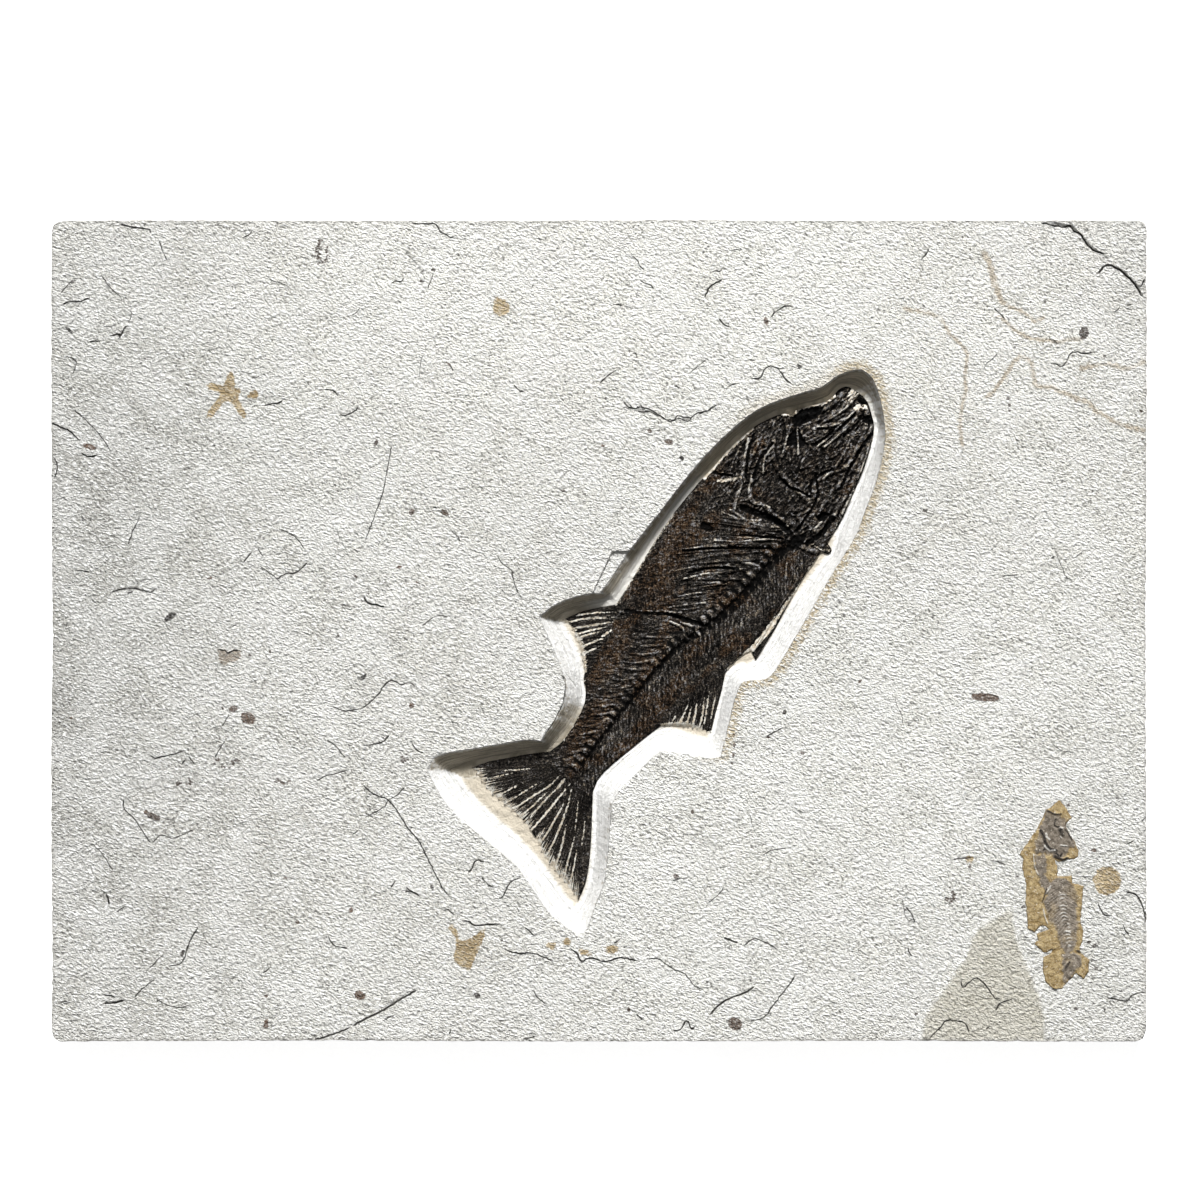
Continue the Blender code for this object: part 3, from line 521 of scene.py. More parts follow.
# Cracks and flake edges: (line, half width, how much higher the left side stands).
CRACKS = [
    ([(15.2, 127.5), (19.2, 123.5), (23.2, 124.3), (28.6, 122.7), (35.2, 118.7), (39.8, 116.3),
      (44.6, 118.2), (49.4, 116.3), (53.9, 120.6), (60.6, 122.4), (63.8, 125.4)], 0.36, 0.4),
    ([(-21.8, -24.3), (-18.6, -27.7), (-19.2, -36.3), (-22.1, -45.6), (-29.6, -57.6)], 0.5, 0.0),
    ([(-18.9, -22.9), (-15.7, -27.7), (-11.4, -33.6)], 0.32, 0.0),
    ([(-56.8, 41.6), (-53.6, 37.1), (-48.8, 33.6), (-46.9, 25.6), (-42.4, 17.1)], 0.26, 0.3),
    ([(-67.5, -127.0), (-64.0, -129.1)], 0.3, 0.0),
    ([(-83.5, 56.6), (-77.6, 51.2), (-78.7, 48.6)], 0.3, 0.0),
    ([(-98.9, 2.1), (-93.6, 6.4), (-88.8, 8.5), (-82.9, 7.5)], 0.28, -0.3),
    ([(244, 227), (257, 224.5), (262, 225), (264, 222), (268, 220), (271, 215), (276, 211), (282, 209)],
     0.7, 0.0),
    ([(276, 197), (281, 202.5), (284, 203), (290, 200), (294, 196.5), (298, 192), (303, 184)], 0.9, 0.0),
    ([(301, 191), (304, 196.5)], 0.5, 0.3),
    ([(178, 205.5), (181, 208), (184, 213)], 0.35, -0.2),
    ([(219, 180), (223, 176), (226, 173)], 0.35, 0.2),
    ([(251, 148.5), (255, 148), (257, 146.5), (260, 150), (262, 154), (266, 155), (269, 154), (275, 154.5)],
     0.4, 0.3),
    ([(281, 168), (282, 172)], 0.35, 0.2),
    ([(285, 177), (288, 178), (290, 181)], 0.35, 0.2),
    ([(293, 180), (297, 182)], 0.35, 0.2),
    ([(292, -145), (297, -146), (300, -149), (302, -153), (303.5, -158), (304, -165)], 0.5, 0.4),
    ([(277, -151), (279, -155), (281, -158), (284, -159)], 0.45, 0.3),
    ([(291, -163), (293, -167), (295, -170)], 0.4, 0.3),
    ([(282, -204), (286, -204.5), (293, -206), (296, -203), (300, -201.5), (304, -201.5)], 0.5, -0.4),
    ([(281, -209), (281, -213)], 0.4, 0.2),
    ([(292, -117.5), (293, -118.8), (298, -116)], 0.4, 0.2),
    ([(301, -107), (304, -103)], 0.4, 0.2),
    ([(196, -127), (203, -126.5), (208, -125.8)], 0.4, -0.3),
    ([(216, -127.5), (222, -128.5), (227, -131)], 0.4, -0.3),
    ([(170, -153), (174, -158), (176, -163)], 0.4, 0.3),
    ([(171, -175), (174, -182)], 0.35, 0.2),
    ([(201, -193), (202, -198), (206, -195), (210, -193), (214, -196), (217, -200), (220, -204), (224, -205)],
     0.4, 0.3),
    ([(231, -204.5), (225, -206), (222, -208), (220, -212)], 0.4, 0.2),
    ([(182, -228), (190, -220), (192, -217), (197, -216.5), (203, -218), (205, -221), (206, -225)], 0.4, 0.3),
    ([(214, -222), (218, -219.5)], 0.35, 0.2),
    # the upper left
    ([(-267, 226), (-259.6, 224.4), (-253.7, 223.5), (-250, 223), (-248.5, 220.4)], 0.45, 0.2),
    ([(-198.7, 217.9), (-195, 219.8), (-192.2, 222.6)], 0.35, 0.1),
    ([(-279.9, 216), (-279.6, 212.5)], 0.35, 0.1),
    ([(-281.5, 202.4), (-278, 202.6)], 0.4, 0.1),
    ([(-300, 187), (-296, 191.5), (-293.5, 194), (-290, 193)], 0.3, -0.4),
    ([(-298.6, 181.3), (-293.5, 183.1), (-288.3, 183.1), (-282.4, 185.3)], 0.45, 0.3),
    ([(-277, 198), (-271, 190), (-265, 185)], 0.28, 0.3),
    ([(-272.4, 163.6), (-267, 164.8), (-266.2, 163.4), (-264, 168), (-261.8, 169.8)], 0.45, 0.2),
    ([(-284.2, 160), (-281, 161), (-277.2, 160.7)], 0.4, 0.2),
    ([(-281.7, 157.8), (-279.8, 155.1)], 0.35, 0.2),
    ([(-257, 175.4), (-253.7, 172.2)], 0.35, 0.2),
    ([(-262, 170), (-260, 175), (-260.5, 180)], 0.25, -0.3),
    ([(-245, 218), (-242.5, 211), (-239.5, 205)], 0.28, 0.4),
    ([(-243.3, 204.6), (-241.1, 202.7)], 0.4, 0.1),
    ([(-296.9, 153.3), (-290.5, 149.2), (-293, 142)], 0.28, 0.1),
    ([(-305, 116), (-299.4, 113.2), (-294.2, 110.9), (-288.3, 105)], 0.5, 0.4),
    ([(-288.3, 99.1), (-283.1, 96.6), (-278.4, 97.6)], 0.55, 0.3),
    ([(-293, 124), (-284, 116), (-276, 107), (-271, 99)], 0.28, 0.5),
    ([(-254, 64.9), (-258, 58), (-262, 46.9)], 0.28, 0.1),
    ([(-199.8, 38.3), (-197.6, 38), (-192.8, 44.5)], 0.4, 0.3),
    ([(-190.2, 47), (-186.5, 40.5)], 0.3, 0.3),
    ([(-179.2, 28.3), (-174, 31.7), (-168.1, 32.4), (-161.5, 38.6)], 0.4, -0.4),
    ([(-178, 57), (-170, 53), (-163, 45)], 0.28, 0.5),
    ([(-245.5, 24.3), (-249.2, 21.4), (-255.1, 22.8), (-258, 23.6), (-267, 22.8), (-272, 20.6)], 0.38, -0.4),
    ([(-291.5, 33.6), (-287, 33.2), (-282.4, 32.4)], 0.35, 0.4),
    ([(-131.3, 19.4), (-128.8, 15.5), (-123.9, 14.3), (-118.4, 13)], 0.65, 0.2),
    ([(-143.5, 15.5), (-139.4, 13.2)], 0.35, 0.2),
    ([(-115, 104.7), (-116.8, 94.3), (-119.9, 78.1), (-123.9, 66.3), (-130.5, 48.6)], 0.28, 0.0),
    ([(-186.9, 124.6), (-181.4, 126.2), (-178, 126.5), (-175.5, 128.3)], 0.5, -0.2),
    ([(-194, 141.3), (-191, 140.4), (-187.7, 142.3)], 0.35, -0.2),
    ([(-145, 121.9), (-142.3, 119.4), (-138.6, 120.6), (-135.7, 121.9), (-133.5, 125)], 0.4, -0.3),
    ([(-153.4, 134.4), (-148.2, 133.4), (-144.5, 129.7)], 0.35, 0.3),
    ([(-116.1, 192), (-113.6, 194.3), (-109.9, 193.9), (-108.1, 197.3)], 0.4, -0.3),
    ([(-132, 180.6), (-135.7, 176.2), (-138.6, 174.7)], 0.3, 0.3),
    ([(-304, 98), (-301, 92), (-303, 84)], 0.3, 0.3),
    # the upper middle
    ([(-104, 226.4), (-97, 226), (-91, 226), (-88.1, 221.4), (-84.6, 220.4), (-82.5, 218.4),
      (-80.1, 219.4)], 0.4, 0.3),
    ([(-92, 199), (-95.5, 189)], 0.25, 0.1),
    ([(-38.5, 191), (-37, 190.8), (-36.4, 193)], 0.35, 0.2),
    ([(8.5, 181.3), (11, 181.2), (13.4, 180.6)], 0.7, 0.0),
    ([(19.8, 186.5), (22.3, 188.8)], 0.35, 0.1),
    ([(17.6, 208.6), (20.5, 206.7), (22.9, 202.5), (26.1, 199.7)], 0.35, 0.2),
    ([(22.3, 195.5), (25, 193.3), (28.9, 191.9), (30.5, 189)], 0.35, 0.2),
    ([(61.4, 198.3), (64.2, 200), (67, 199.7), (69.1, 201.8)], 0.38, -0.3),
    ([(58.5, 184.2), (60, 188.4), (62.8, 191.9), (69.1, 195.4)], 0.5, -0.3),
    ([(72, 211), (74, 211.6), (79.7, 211.6)], 0.35, 0.2),
    ([(95.2, 173.6), (97.3, 176.4), (101.6, 179.5), (105.8, 180.6), (108.6, 179)], 0.5, -0.3),
    ([(66.3, 174.5), (69, 170.5), (73.2, 168.2)], 0.6, -0.3),
    ([(83.9, 140.2), (89.6, 140.4), (91.7, 144.7), (95.2, 147.1), (98.7, 146.1), (101.6, 143.3),
      (103.7, 139.7), (108.6, 135.8)], 0.45, 0.3),
    ([(71.2, 134.5), (73.8, 136.9), (77.2, 136.9)], 0.5, 0.2),
    ([(55, 120), (58.5, 121.7), (61.4, 122.8), (64.9, 125.3), (67, 125.3)], 0.42, -0.3),
    ([(37.4, 117.6), (42, 116.9), (43.7, 119.6), (46.6, 118.9), (50.8, 118.2)], 0.42, -0.3),
    ([(13.1, 127.7), (16.2, 124.5), (19.1, 123.1)], 0.5, 0.3),
    ([(20.5, 122.1), (24, 121.4), (28.9, 121.4), (33.9, 118.9)], 0.42, -0.3),
    ([(22.5, 126), (25, 122.5)], 0.35, 0.2),
    ([(-83.5, 148.5), (-80.5, 143.7)], 0.35, 0.2),
    ([(-0.5, 137), (4.5, 141.5), (10.5, 145.5)], 0.3, 0.2),
    ([(-48, 137.6), (-43.7, 133), (-40.3, 133.5)], 0.32, 0.2),
    ([(-93.4, 69.2), (-89.5, 67.8)], 0.55, 0.1),
    ([(60, 151), (50, 143)], 0.26, 0.3),
    # the lower left
    ([(-212, -10.5), (-208, -10.9), (-206, -12.4), (-203, -10.9), (-199.5, -11)], 0.5, 0.3),
    ([(-151.4, -42), (-146, -43), (-141.4, -44.6), (-131.4, -43), (-127.5, -40), (-122.2, -34.6),
      (-119.1, -30), (-115.2, -27.7), (-109.8, -30.3), (-107.5, -29.2), (-103.7, -29.7), (-100.6, -33.8)],
      0.4, -0.3),
    ([(-205, -46), (-210, -54)], 0.3, 0.2),
    ([(-207.5, -61), (-211, -66), (-214, -71.5)], 0.3, -0.3),
    ([(-250.3, -68.8), (-246.8, -70.8), (-242.9, -70), (-238.3, -69.2), (-233.7, -67.7), (-230.3, -66.6)],
     0.45, 0.2),
    ([(-232.2, -75.2), (-229.9, -71.2)], 0.45, 0.1),
    ([(-228.3, -69.2), (-224.5, -75)], 0.3, 0.2),
    ([(-264.5, -92.8), (-263.7, -99.2), (-258.3, -104.6), (-253.7, -111.5), (-248.8, -118.5)], 0.35, 0.3),
    ([(-248.8, -118.5), (-243.7, -113.8), (-236.8, -115.4), (-230.6, -113), (-224.5, -110)], 0.32, -0.4),
    ([(-274.2, -145.4), (-272.9, -150), (-271.8, -153)], 0.8, 0.0),
    ([(-268.6, -156.9), (-263.2, -152.8)], 0.35, -0.2),
    ([(-276.5, -202.6), (-271.4, -203), (-268, -204.5)], 0.5, 0.1),
    ([(-276, -207.2), (-269, -206.9), (-263.7, -205.4)], 0.95, -0.2),
    ([(-300.6, -206.1), (-294.5, -206.1)], 0.38, 0.1),
    ([(-259, -204.6), (-253.7, -199.2), (-246.3, -193)], 0.35, -0.3),
    ([(-239.8, -186.2), (-235.2, -185.8), (-231.4, -183.8), (-229, -177), (-226.8, -171.5), (-222.2, -163.8)],
     0.35, 0.2),
    ([(-241.4, -179), (-249.8, -187.7)], 0.26, 0.3),
    ([(-187.8, -190.8), (-184.5, -188.8), (-182.2, -186.2)], 0.32, 0.2),
    ([(-151, -168.8), (-149, -173), (-146, -175.4), (-139, -176.5)], 0.4, 0.3),
    ([(-112.9, -138), (-116, -143.8)], 0.35, 0.2),
    ([(-121, -144.5), (-118, -146)], 0.35, 0.2),
    ([(-108, -142), (-101.4, -146.6)], 0.38, 0.3),
    ([(-129, -63.8), (-122.9, -62.6), (-119, -60.8), (-116.5, -57.4)], 0.42, -0.3),
    ([(-152.2, -60.5), (-146.8, -63.8), (-140.6, -71.2)], 0.32, 0.3),
    ([(-157.5, -83.8), (-152.2, -80.8), (-146, -79.2), (-139.8, -77.7)], 0.35, -0.4),
    ([(-131.4, -104.6), (-119.1, -97.7), (-117.5, -94.6), (-112.2, -91.5), (-107.5, -86.2)], 0.32, -0.3),
    ([(-138, -114), (-133, -110.8)], 0.32, 0.1),
    ([(-133, -84), (-125, -91), (-118, -93.5), (-113, -99), (-106, -110), (-100, -117), (-95, -127),
      (-88, -141), (-82, -150)], 0.4, 0.5),
    ([(-159.8, -228), (-146, -223.8), (-138.3, -220.5)], 0.6, -0.5),
    ([(-138.3, -220.5), (-130.6, -216.2), (-120.6, -211.5), (-110.6, -205.4), (-100, -199.2)], 0.85, -0.6),
    ([(-121.4, -217.4), (-112.9, -213.1)], 0.32, -0.3),
    ([(-246, -205), (-236, -209), (-228, -209)], 0.25, 0.4),
    ([(-283, -117), (-276, -124), (-270, -134)], 0.25, 0.5),
    # the lower middle
    ([(-104.5, -61.9), (-101, -66.5), (-96.7, -68.6)], 0.4, 0.3),
    ([(-109, -144.4), (-103, -145.5), (-99.4, -147.9)], 0.4, 0.3),
    ([(-73, -135.2), (-70.5, -131.7), (-68, -127.7), (-62.8, -128.9)], 0.5, -0.2),
    ([(-65.6, -136.6), (-62, -140.8), (-57.8, -143.2)], 0.42, 0.2),
    ([(-56.4, -149.7), (-52.9, -146.5), (-49.4, -139.9), (-43.7, -137.3)], 0.35, 0.3),
    ([(-87, -156), (-83.9, -155), (-80.4, -158.5)], 0.4, 0.3),
    ([(-76.4, -161), (-71.9, -162), (-69.1, -163.8), (-62, -163.1), (-54.3, -163.4)], 0.5, 0.3),
    ([(-42.3, -164.4), (-39.5, -166.2), (-35.2, -170.5)], 0.42, 0.3),
    ([(-52.2, -177.5), (-45.1, -179.3), (-37.4, -179.3), (-31.7, -181), (-25.4, -183.9)], 0.48, 0.4),
    ([(-16.9, -176.1), (-12.7, -178.9), (-9.6, -183.9), (-4.9, -181.7), (3.5, -183.9), (11.3, -181.7),
      (16.9, -182.5), (22.6, -184.1)], 0.48, 0.4),
    ([(26.1, -182.5), (32.5, -182.2), (40.2, -187.4), (48, -190.9), (52.2, -196.6), (58.5, -200)], 0.3, 0.4),
    ([(7.8, -174), (12.4, -170.9)], 0.42, 0.1),
    ([(68.8, -170.5), (72.7, -171.9), (77.6, -174)], 0.65, 0.1),
    ([(71.2, -176.8), (73.4, -174.7)], 0.35, 0.1),
    ([(80.1, -176.1), (85.3, -171.5), (90.3, -172.3), (100.2, -177.5)], 0.4, -0.3),
    ([(61.4, -214.2), (64.2, -210.7), (69.1, -206.4), (74.8, -203.6), (81.1, -201.5), (86.8, -197.3)], 0.7,
     -0.5),
    ([(40.2, -222.2), (45.1, -221.9), (48.7, -216.7), (51.5, -221.2), (54.3, -218.8)], 0.48, 0.3),
    ([(81.8, -217.4), (91.7, -214.9), (96.6, -208.5), (105.8, -196.6), (110, -190.2)], 0.38, -0.4),
    ([(20, -212.8), (24.7, -216.6)], 0.48, 0.2),
    ([(-36.7, -199.4), (-33.8, -204.3), (-28.9, -207.8)], 0.38, 0.3),
    ([(-83.2, -225.5), (-82.1, -220.5)], 0.38, 0.0),
    ([(-43.7, -227.5), (-34.5, -225.5)], 0.38, -0.3),
    ([(40, -139.6), (44, -138), (50, -137.4)], 0.32, 0.1),
    ([(92.4, -59.5), (96, -57), (102.3, -54.1)], 0.42, -0.2),
    ([(90.3, -125.3), (96.6, -121.8), (105, -120.7)], 0.3, 0.2),
    ([(60, -152), (66, -147), (70, -142)], 0.28, 0.3),
]

# Dark specks: (x, y, half length, half width, turn in degrees, brownness).
SPECKS = [
    (269.5, 165.5, 3.6, 2.6, 75, 0.2), (281, 152.5, 1.0, 0.8, 0, 0.2), (227.5, 129, 1.0, 0.7, 20, 0.2),
    (228, 125.5, 0.9, 0.7, 0, 0.2), (228, 122.5, 0.9, 0.6, 0, 0.2), (302, 106.5, 1.0, 0.8, 0, 0.3),
    (301.5, 122, 0.8, 0.7, 0, 0.3), (-294.5, 167.2, 2.3, 0.9, -40, 0.0), (-238.3, 7.8, 3.9, 1.9, 42, 0.05),
    (-283.5, 102.3, 3.8, 1.6, -18, 0.9), (-250.3, 101.3, 1.5, 0.5, 0, 0.1),
    (-286.8, 62.3, 1.5, 0.6, -65, 0.0), (-123.8, 104.6, 1.9, 1.1, 70, 0.3),
    (-135.6, 30.2, 1.5, 0.8, -35, 0.3), (-104, 66, 2.0, 1.6, 60, 0.6), (-111, 35.5, 1.4, 1.0, 30, 0.9),
    (-216, 29.3, 1.5, 0.6, 20, 0.8), (-138.5, 111.5, 0.9, 0.6, 0, 0.4), (-294, 118, 1.1, 0.5, 80, 0.8),
    (-101, 27, 1.0, 0.7, 0, 0.9), (-203.5, -43.6, 2.4, 1.8, 10, 0.5), (-209, -43, 1.0, 0.7, -40, 0.2),
    (-195, -48.6, 4.3, 3.2, -20, 0.7), (-248, -103, 4.3, 1.8, -28, 0.35),
    (-251.5, -101, 1.6, 1.3, -60, 0.6), (-145.3, -3, 1.1, 0.8, 30, 0.1), (-131.4, -26, 2.6, 1.2, 42, 0.0),
    (-194, -13.7, 0.9, 0.7, 0, 0.2), (-183, -11.3, 0.7, 1.0, 0, 0.4), (-231.6, -179.2, 1.0, 2.1, -15, 0.1),
    (-235.5, -184, 0.9, 0.6, 0, 0.2), (-133, -202.6, 3.0, 2.6, -20, 0.75),
    (-185, -218.5, 1.4, 2.6, -10, 0.8), (-185, -203, 1.1, 0.8, 20, 0.6), (-167.5, -162.2, 1.1, 1.0, 0, 0.6),
    (-138, -155.4, 1.5, 1.2, 50, 0.9), (-104, -41.5, 1.3, 1.6, 20, 0.8), (-293, -48.5, 0.9, 0.6, 0, 0.8),
    (-174.5, -137.5, 1.1, 0.6, 20, 0.7), (-170.5, -137.2, 1.2, 0.4, 0, 0.7),
    (-166, -137.4, 0.8, 0.4, 0, 0.7), (-92.8, -142.6, 0.8, 1.8, 20, 0.1), (-92, 200.6, 1.3, 0.9, 0, 0.2),
    (-98.5, 194.2, 1.3, 0.6, -15, 0.1), (43.5, 135.8, 2.0, 0.7, -25, 0.0), (28.2, 111.1, 1.3, 1.0, 20, 0.5),
    (38.8, 105, 2.6, 1.5, -10, 0.55), (45.8, 96, 1.7, 1.0, -45, 0.0), (2, 102.5, 0.9, 0.7, 0, 0.7),
    (-8, 75.8, 1.0, 0.45, 0, 0.1), (-20, 78, 0.9, 0.6, 0, 0.2), (-85.6, 65.7, 2.6, 1.6, -35, 0.55),
    (-83.8, 148.3, 1.8, 0.7, -50, 0.8), (92.7, 172.2, 1.2, 2.4, 10, 0.7), (111, 147, 1.8, 1.0, -10, 0.0),
    (181, 67, 1.4, 0.9, 0, 0.2), (214.6, -37, 8.0, 2.4, -4, 0.7), (75.6, -218.4, 4.0, 3.4, -30, 0.55),
    (113, -68, 1.3, 1.0, 0, 0.5), (145, -28, 1.2, 0.8, 40, 0.5), (103, -45.4, 1.0, 1.7, -25, 0.1),
    (52, -100.3, 0.8, 1.1, 20, 0.3), (43, -136.6, 1.7, 1.3, -20, 0.4), (-67.6, -202.6, 1.9, 1.5, -30, 0.1),
    (16.6, -210.3, 0.8, 1.5, 0, 0.4), (35.6, -227, 0.8, 0.7, 0, 0.2), (74.8, -58, 0.8, 1.2, 0, 0.5),
    (75.2, -63.5, 0.7, 1.5, 0, 0.5), (74.6, -69, 0.7, 1.1, 0, 0.5), (73.9, -73.5, 0.6, 1.0, 0, 0.5),
    (94, -59.2, 1.2, 0.7, 30, 0.8), (272.5, -173, 1.2, 1.0, 0, 0.2), (275.5, -175, 2.0, 0.9, 30, 0.2),
    (276, -187.5, 1.2, 0.9, 0, 0.2), (265, -210, 1.0, 0.9, 0, 0.2), (236, -153.5, 1.1, 0.8, 0, 0.2),
    (232.5, -136.5, 1.0, 0.8, 0, 0.2), (275, -122, 1.3, 1.0, 0, 0.8), (206, -131, 1.0, 0.8, 0, 0.3),
    (176, -213, 1.1, 0.9, 0, 0.3), (261, -97, 1.0, 0.8, 0, 0.3),
]
# Marks made of many small grey flecks: (x, y, radius along X, radius along Y, how many).
GREY_MARKS = [(-154.5, 210.5, 4.6, 7.5, 34), (195, -147, 3.0, 4.2, 20), (-107.5, -71, 2.6, 2.4, 9),
              (-207, -73, 7.0, 3.0, 14), (-176, -84, 4.0, 3.0, 8), (-232, -84, 9.0, 2.0, 8)]

# Tan patches: closed outlines.
TAN_PATCHES = [
    [(-84, -161), (-79, -167), (-77, -173), (-73, -172), (-67, -168.5), (-64, -164.5), (-63.6, -168.5),
     (-66.5, -175.5), (-70, -183.5), (-71.5, -188.5), (-75.5, -187), (-81, -182.5), (-79.5, -177.5),
     (-79, -170.5), (-82.5, -167)],
    [(-29.3, -174), (-25.5, -173.2), (-23.6, -174), (-24.6, -176.5), (-28, -177.5)],
    [(-20, -172), (-17.5, -170.8), (-15.6, -173), (-17.5, -174.6), (-19.6, -174.4)],
    [(-11, -177), (-7, -177.6), (-4, -179.6), (-7.4, -180.6), (-10, -179.6)],
    [(2.5, -176.4), (7.4, -175), (12.4, -177), (9, -178.8), (4, -178.6)],
    [(-206.2, 144), (-203.4, 143.6), (-202.6, 138), (-203.2, 134.6), (-199.6, 134.2), (-199.8, 131.4),
     (-202.4, 130.4), (-200, 127), (-197, 122), (-195.8, 119.4), (-198, 118.4), (-201.2, 123),
     (-204, 127.6), (-206.4, 129), (-208.6, 128), (-210.6, 124.8), (-212, 126), (-210, 129.6),
     (-208.6, 132), (-212, 133.4), (-217, 134.2), (-218, 137.4), (-213.6, 137), (-208.4, 135.8),
     (-207, 138.6)],
    [(-218, 118.6), (-215.6, 118.4), (-211.4, 124), (-208, 129), (-209.6, 131.4), (-213, 127), (-216.6, 122)],
    [(-210.5, 134), (-205, 136), (-200.5, 133), (-201, 128.6), (-206, 127), (-210, 129.4)],
    [(-195.4, 130), (-190, 129), (-189.4, 131.6), (-190.8, 133.8), (-194, 132.2)],
]
# A duller, brownish-grey patch.
DULL_PATCH = [(-211.8, -10.5), (-207, -11), (-206, -12.2), (-203, -10.8), (-199.6, -11), (-199.2, -14),
              (-202, -17.3), (-206, -17), (-208.6, -19.6), (-211, -15.4)]
# Broad darker and lighter places over the face, darker towards the left edge and in the corners, lighter
# along the top: (x, y, spread along X, spread along Y, how much).
TONES = [(-310, 0, 75, 170, -0.33), (-240, 140, 70, 90, -0.15), (-270, -180, 110, 90, -0.07),
         (0, 200, 190, 60, 0.30), (230, 0, 60, 150, 0.05), (265, -165, 40, 70, -0.16),
         (-304, 173, 5, 9, -0.22), (-306, 84, 5, 22, -0.2), (-305, -45, 9, 16, -0.18),
         (-304, -110, 9, 8, -0.15), (-208, -76, 26, 9, -0.05), (-10, -70, 120, 90, 0.03),
         (300, 205, 10, 30, -0.15), (120, -100, 90, 60, 0.03)]
# Tan discs: (x, y, radius).
TAN_DISCS = [(282.3, -139, 7.6), (-54.3, 179.6, 4.3), (-56.6, 184, 1.6), (206, -127, 2.0)]

# Thin tan stain lines on the face: (line, half width).
STAINS = [
    ([(170, 179), (180, 177), (189, 174.5), (192, 170), (196, 164), (200, 160), (203, 157), (205, 153),
      (204, 148), (203.5, 140), (204, 133), (202.5, 128), (201, 120), (201, 110), (202, 103)], 0.7),
    ([(216, 130), (220, 134), (224, 139), (227, 144), (230, 148.5), (234, 152), (237, 151.5), (240, 149),
      (241.5, 143), (242.5, 136.5), (246, 135.5), (252, 135), (256, 132.5), (261, 131.5), (265, 129),
      (272, 127), (276, 122), (281, 119.5), (287, 116), (292, 114), (298, 112.5), (304, 112)], 0.9),
    ([(228, 180), (234, 178), (238, 175.5), (242, 172), (247, 174)], 0.7),
    ([(222, 175), (226, 171.5), (231, 167), (236, 164), (242, 162), (250, 161.5), (256, 160.5), (262, 162),
      (268, 162)], 0.7),
    ([(214, 210), (217, 204), (219, 196), (222, 187), (225, 182)], 1.4),
    ([(268, 146), (282, 148), (294, 146), (304, 150)], 1.0),
]

# ---------------------------------------------------------------- the large fish's outlines


def fin(base, edge, count, bow=0.0):
    """The rays of a fin, spread evenly from its base line to its free edge, and bowed sideways."""
    roots = smooth(base, 0.5)
    tips = smooth(edge, 0.5)
    rays = []
    for share in np.linspace(0, 1, count):
        root = roots[round(share * (len(roots) - 1))]
        tip = tips[round(share * (len(tips) - 1))]
        run = tip - root
        middle = root + 0.5 * run + bow * np.array([-run[1], run[0]])
        rays.append(np.array([root, middle, tip]))
    return rays


def frayed_edge(rays, depth):
    """A fin's free edge: the ray tips, with a notch between neighbours."""
    edge = [rays[0][-1]]
    for ray, following in zip(rays[:-1], rays[1:]):
        roots = 0.5 * (ray[1] + following[1])
        tips = 0.5 * (ray[-1] + following[-1])
        edge += [tips + (roots - tips) / np.linalg.norm(roots - tips) * depth, following[-1]]
    return edge


TAIL_UPPER = fin([(279, 10.5), (279.5, 0.5)], [(330, 40.5), (327.5, 33), (325.5, 25), (322, 12),
                                               (315.5, 0.5)], 11)
TAIL_LOWER = fin([(279.5, -1.5), (277, -17.5)], [(313.5, -5), (311.8, -15), (311, -25), (310, -36),
                                                 (305, -51)], 11)
SECOND_DORSAL = fin([(182, 31.5), (221, 19.5)], [(211, 45.5), (213, 40), (216, 34), (219.5, 28),
                                                 (224.5, 20.5)], 12)
ANAL = fin([(186, -37.5), (222, -29)], [(207, -57.5), (210, -51), (213.5, -44.5), (218, -39), (225.5, -31)],
           10, -0.06)
HEAD_BELOW = [(9, 1), (10, -6), (14, -9.2), (20, -9.6), (26, -12.5), (31, -17), (38, -21.8)]
JAW_CORNER = [(38, -21.8), (41.5, -21)]
BELLY = [
    (41.5, -21), (43, -26), (50, -31), (60, -35.6), (75, -39), (90, -40.4), (105, -42.2), (128, -43.2),
    (150, -42), (167, -40.4), (184, -39.3),
]
ANAL_FRONT = [(184, -39.3), (190, -45), (198, -52), (207, -57.5)]
VENT_TO_TAIL = [(225.5, -31), (229, -29), (234, -24), (241, -20.6), (252, -19), (264, -18.8), (272, -21)]
TAIL_BELOW = [(272, -21), (280, -29.5), (290, -39), (297, -45.5), (305, -51)]
TAIL_ABOVE = [(330, 40.5), (320, 38.3), (310, 33.6), (300, 27.6), (290, 21), (276, 11.6)]
TAIL_STALK = [(276, 11.6), (269, 10), (260, 11), (250, 13.4), (238, 16.6), (224.5, 20.5)]
DORSAL_FRONT = [(211, 45.5), (200, 41), (190, 37.2), (179, 32.4)]
BACK_STEP = [(179, 32.4), (168, 33.4), (160.5, 36.6)]
DORSAL_TIP = [(160.5, 36.6), (163.5, 41.8)]
FIRST_DORSAL = [(163.5, 41.8), (143, 40.3), (128, 38.4), (112, 36.6), (93, 36)]
NAPE_NUB = [(93, 36), (91.8, 40), (88.8, 40.2), (87, 36)]
NAPE = [(87, 36), (72, 34.8), (60, 32), (50, 30), (40, 27.4), (29, 23.6), (20, 19.4), (14, 13), (10, 7),
        (9, 1)]

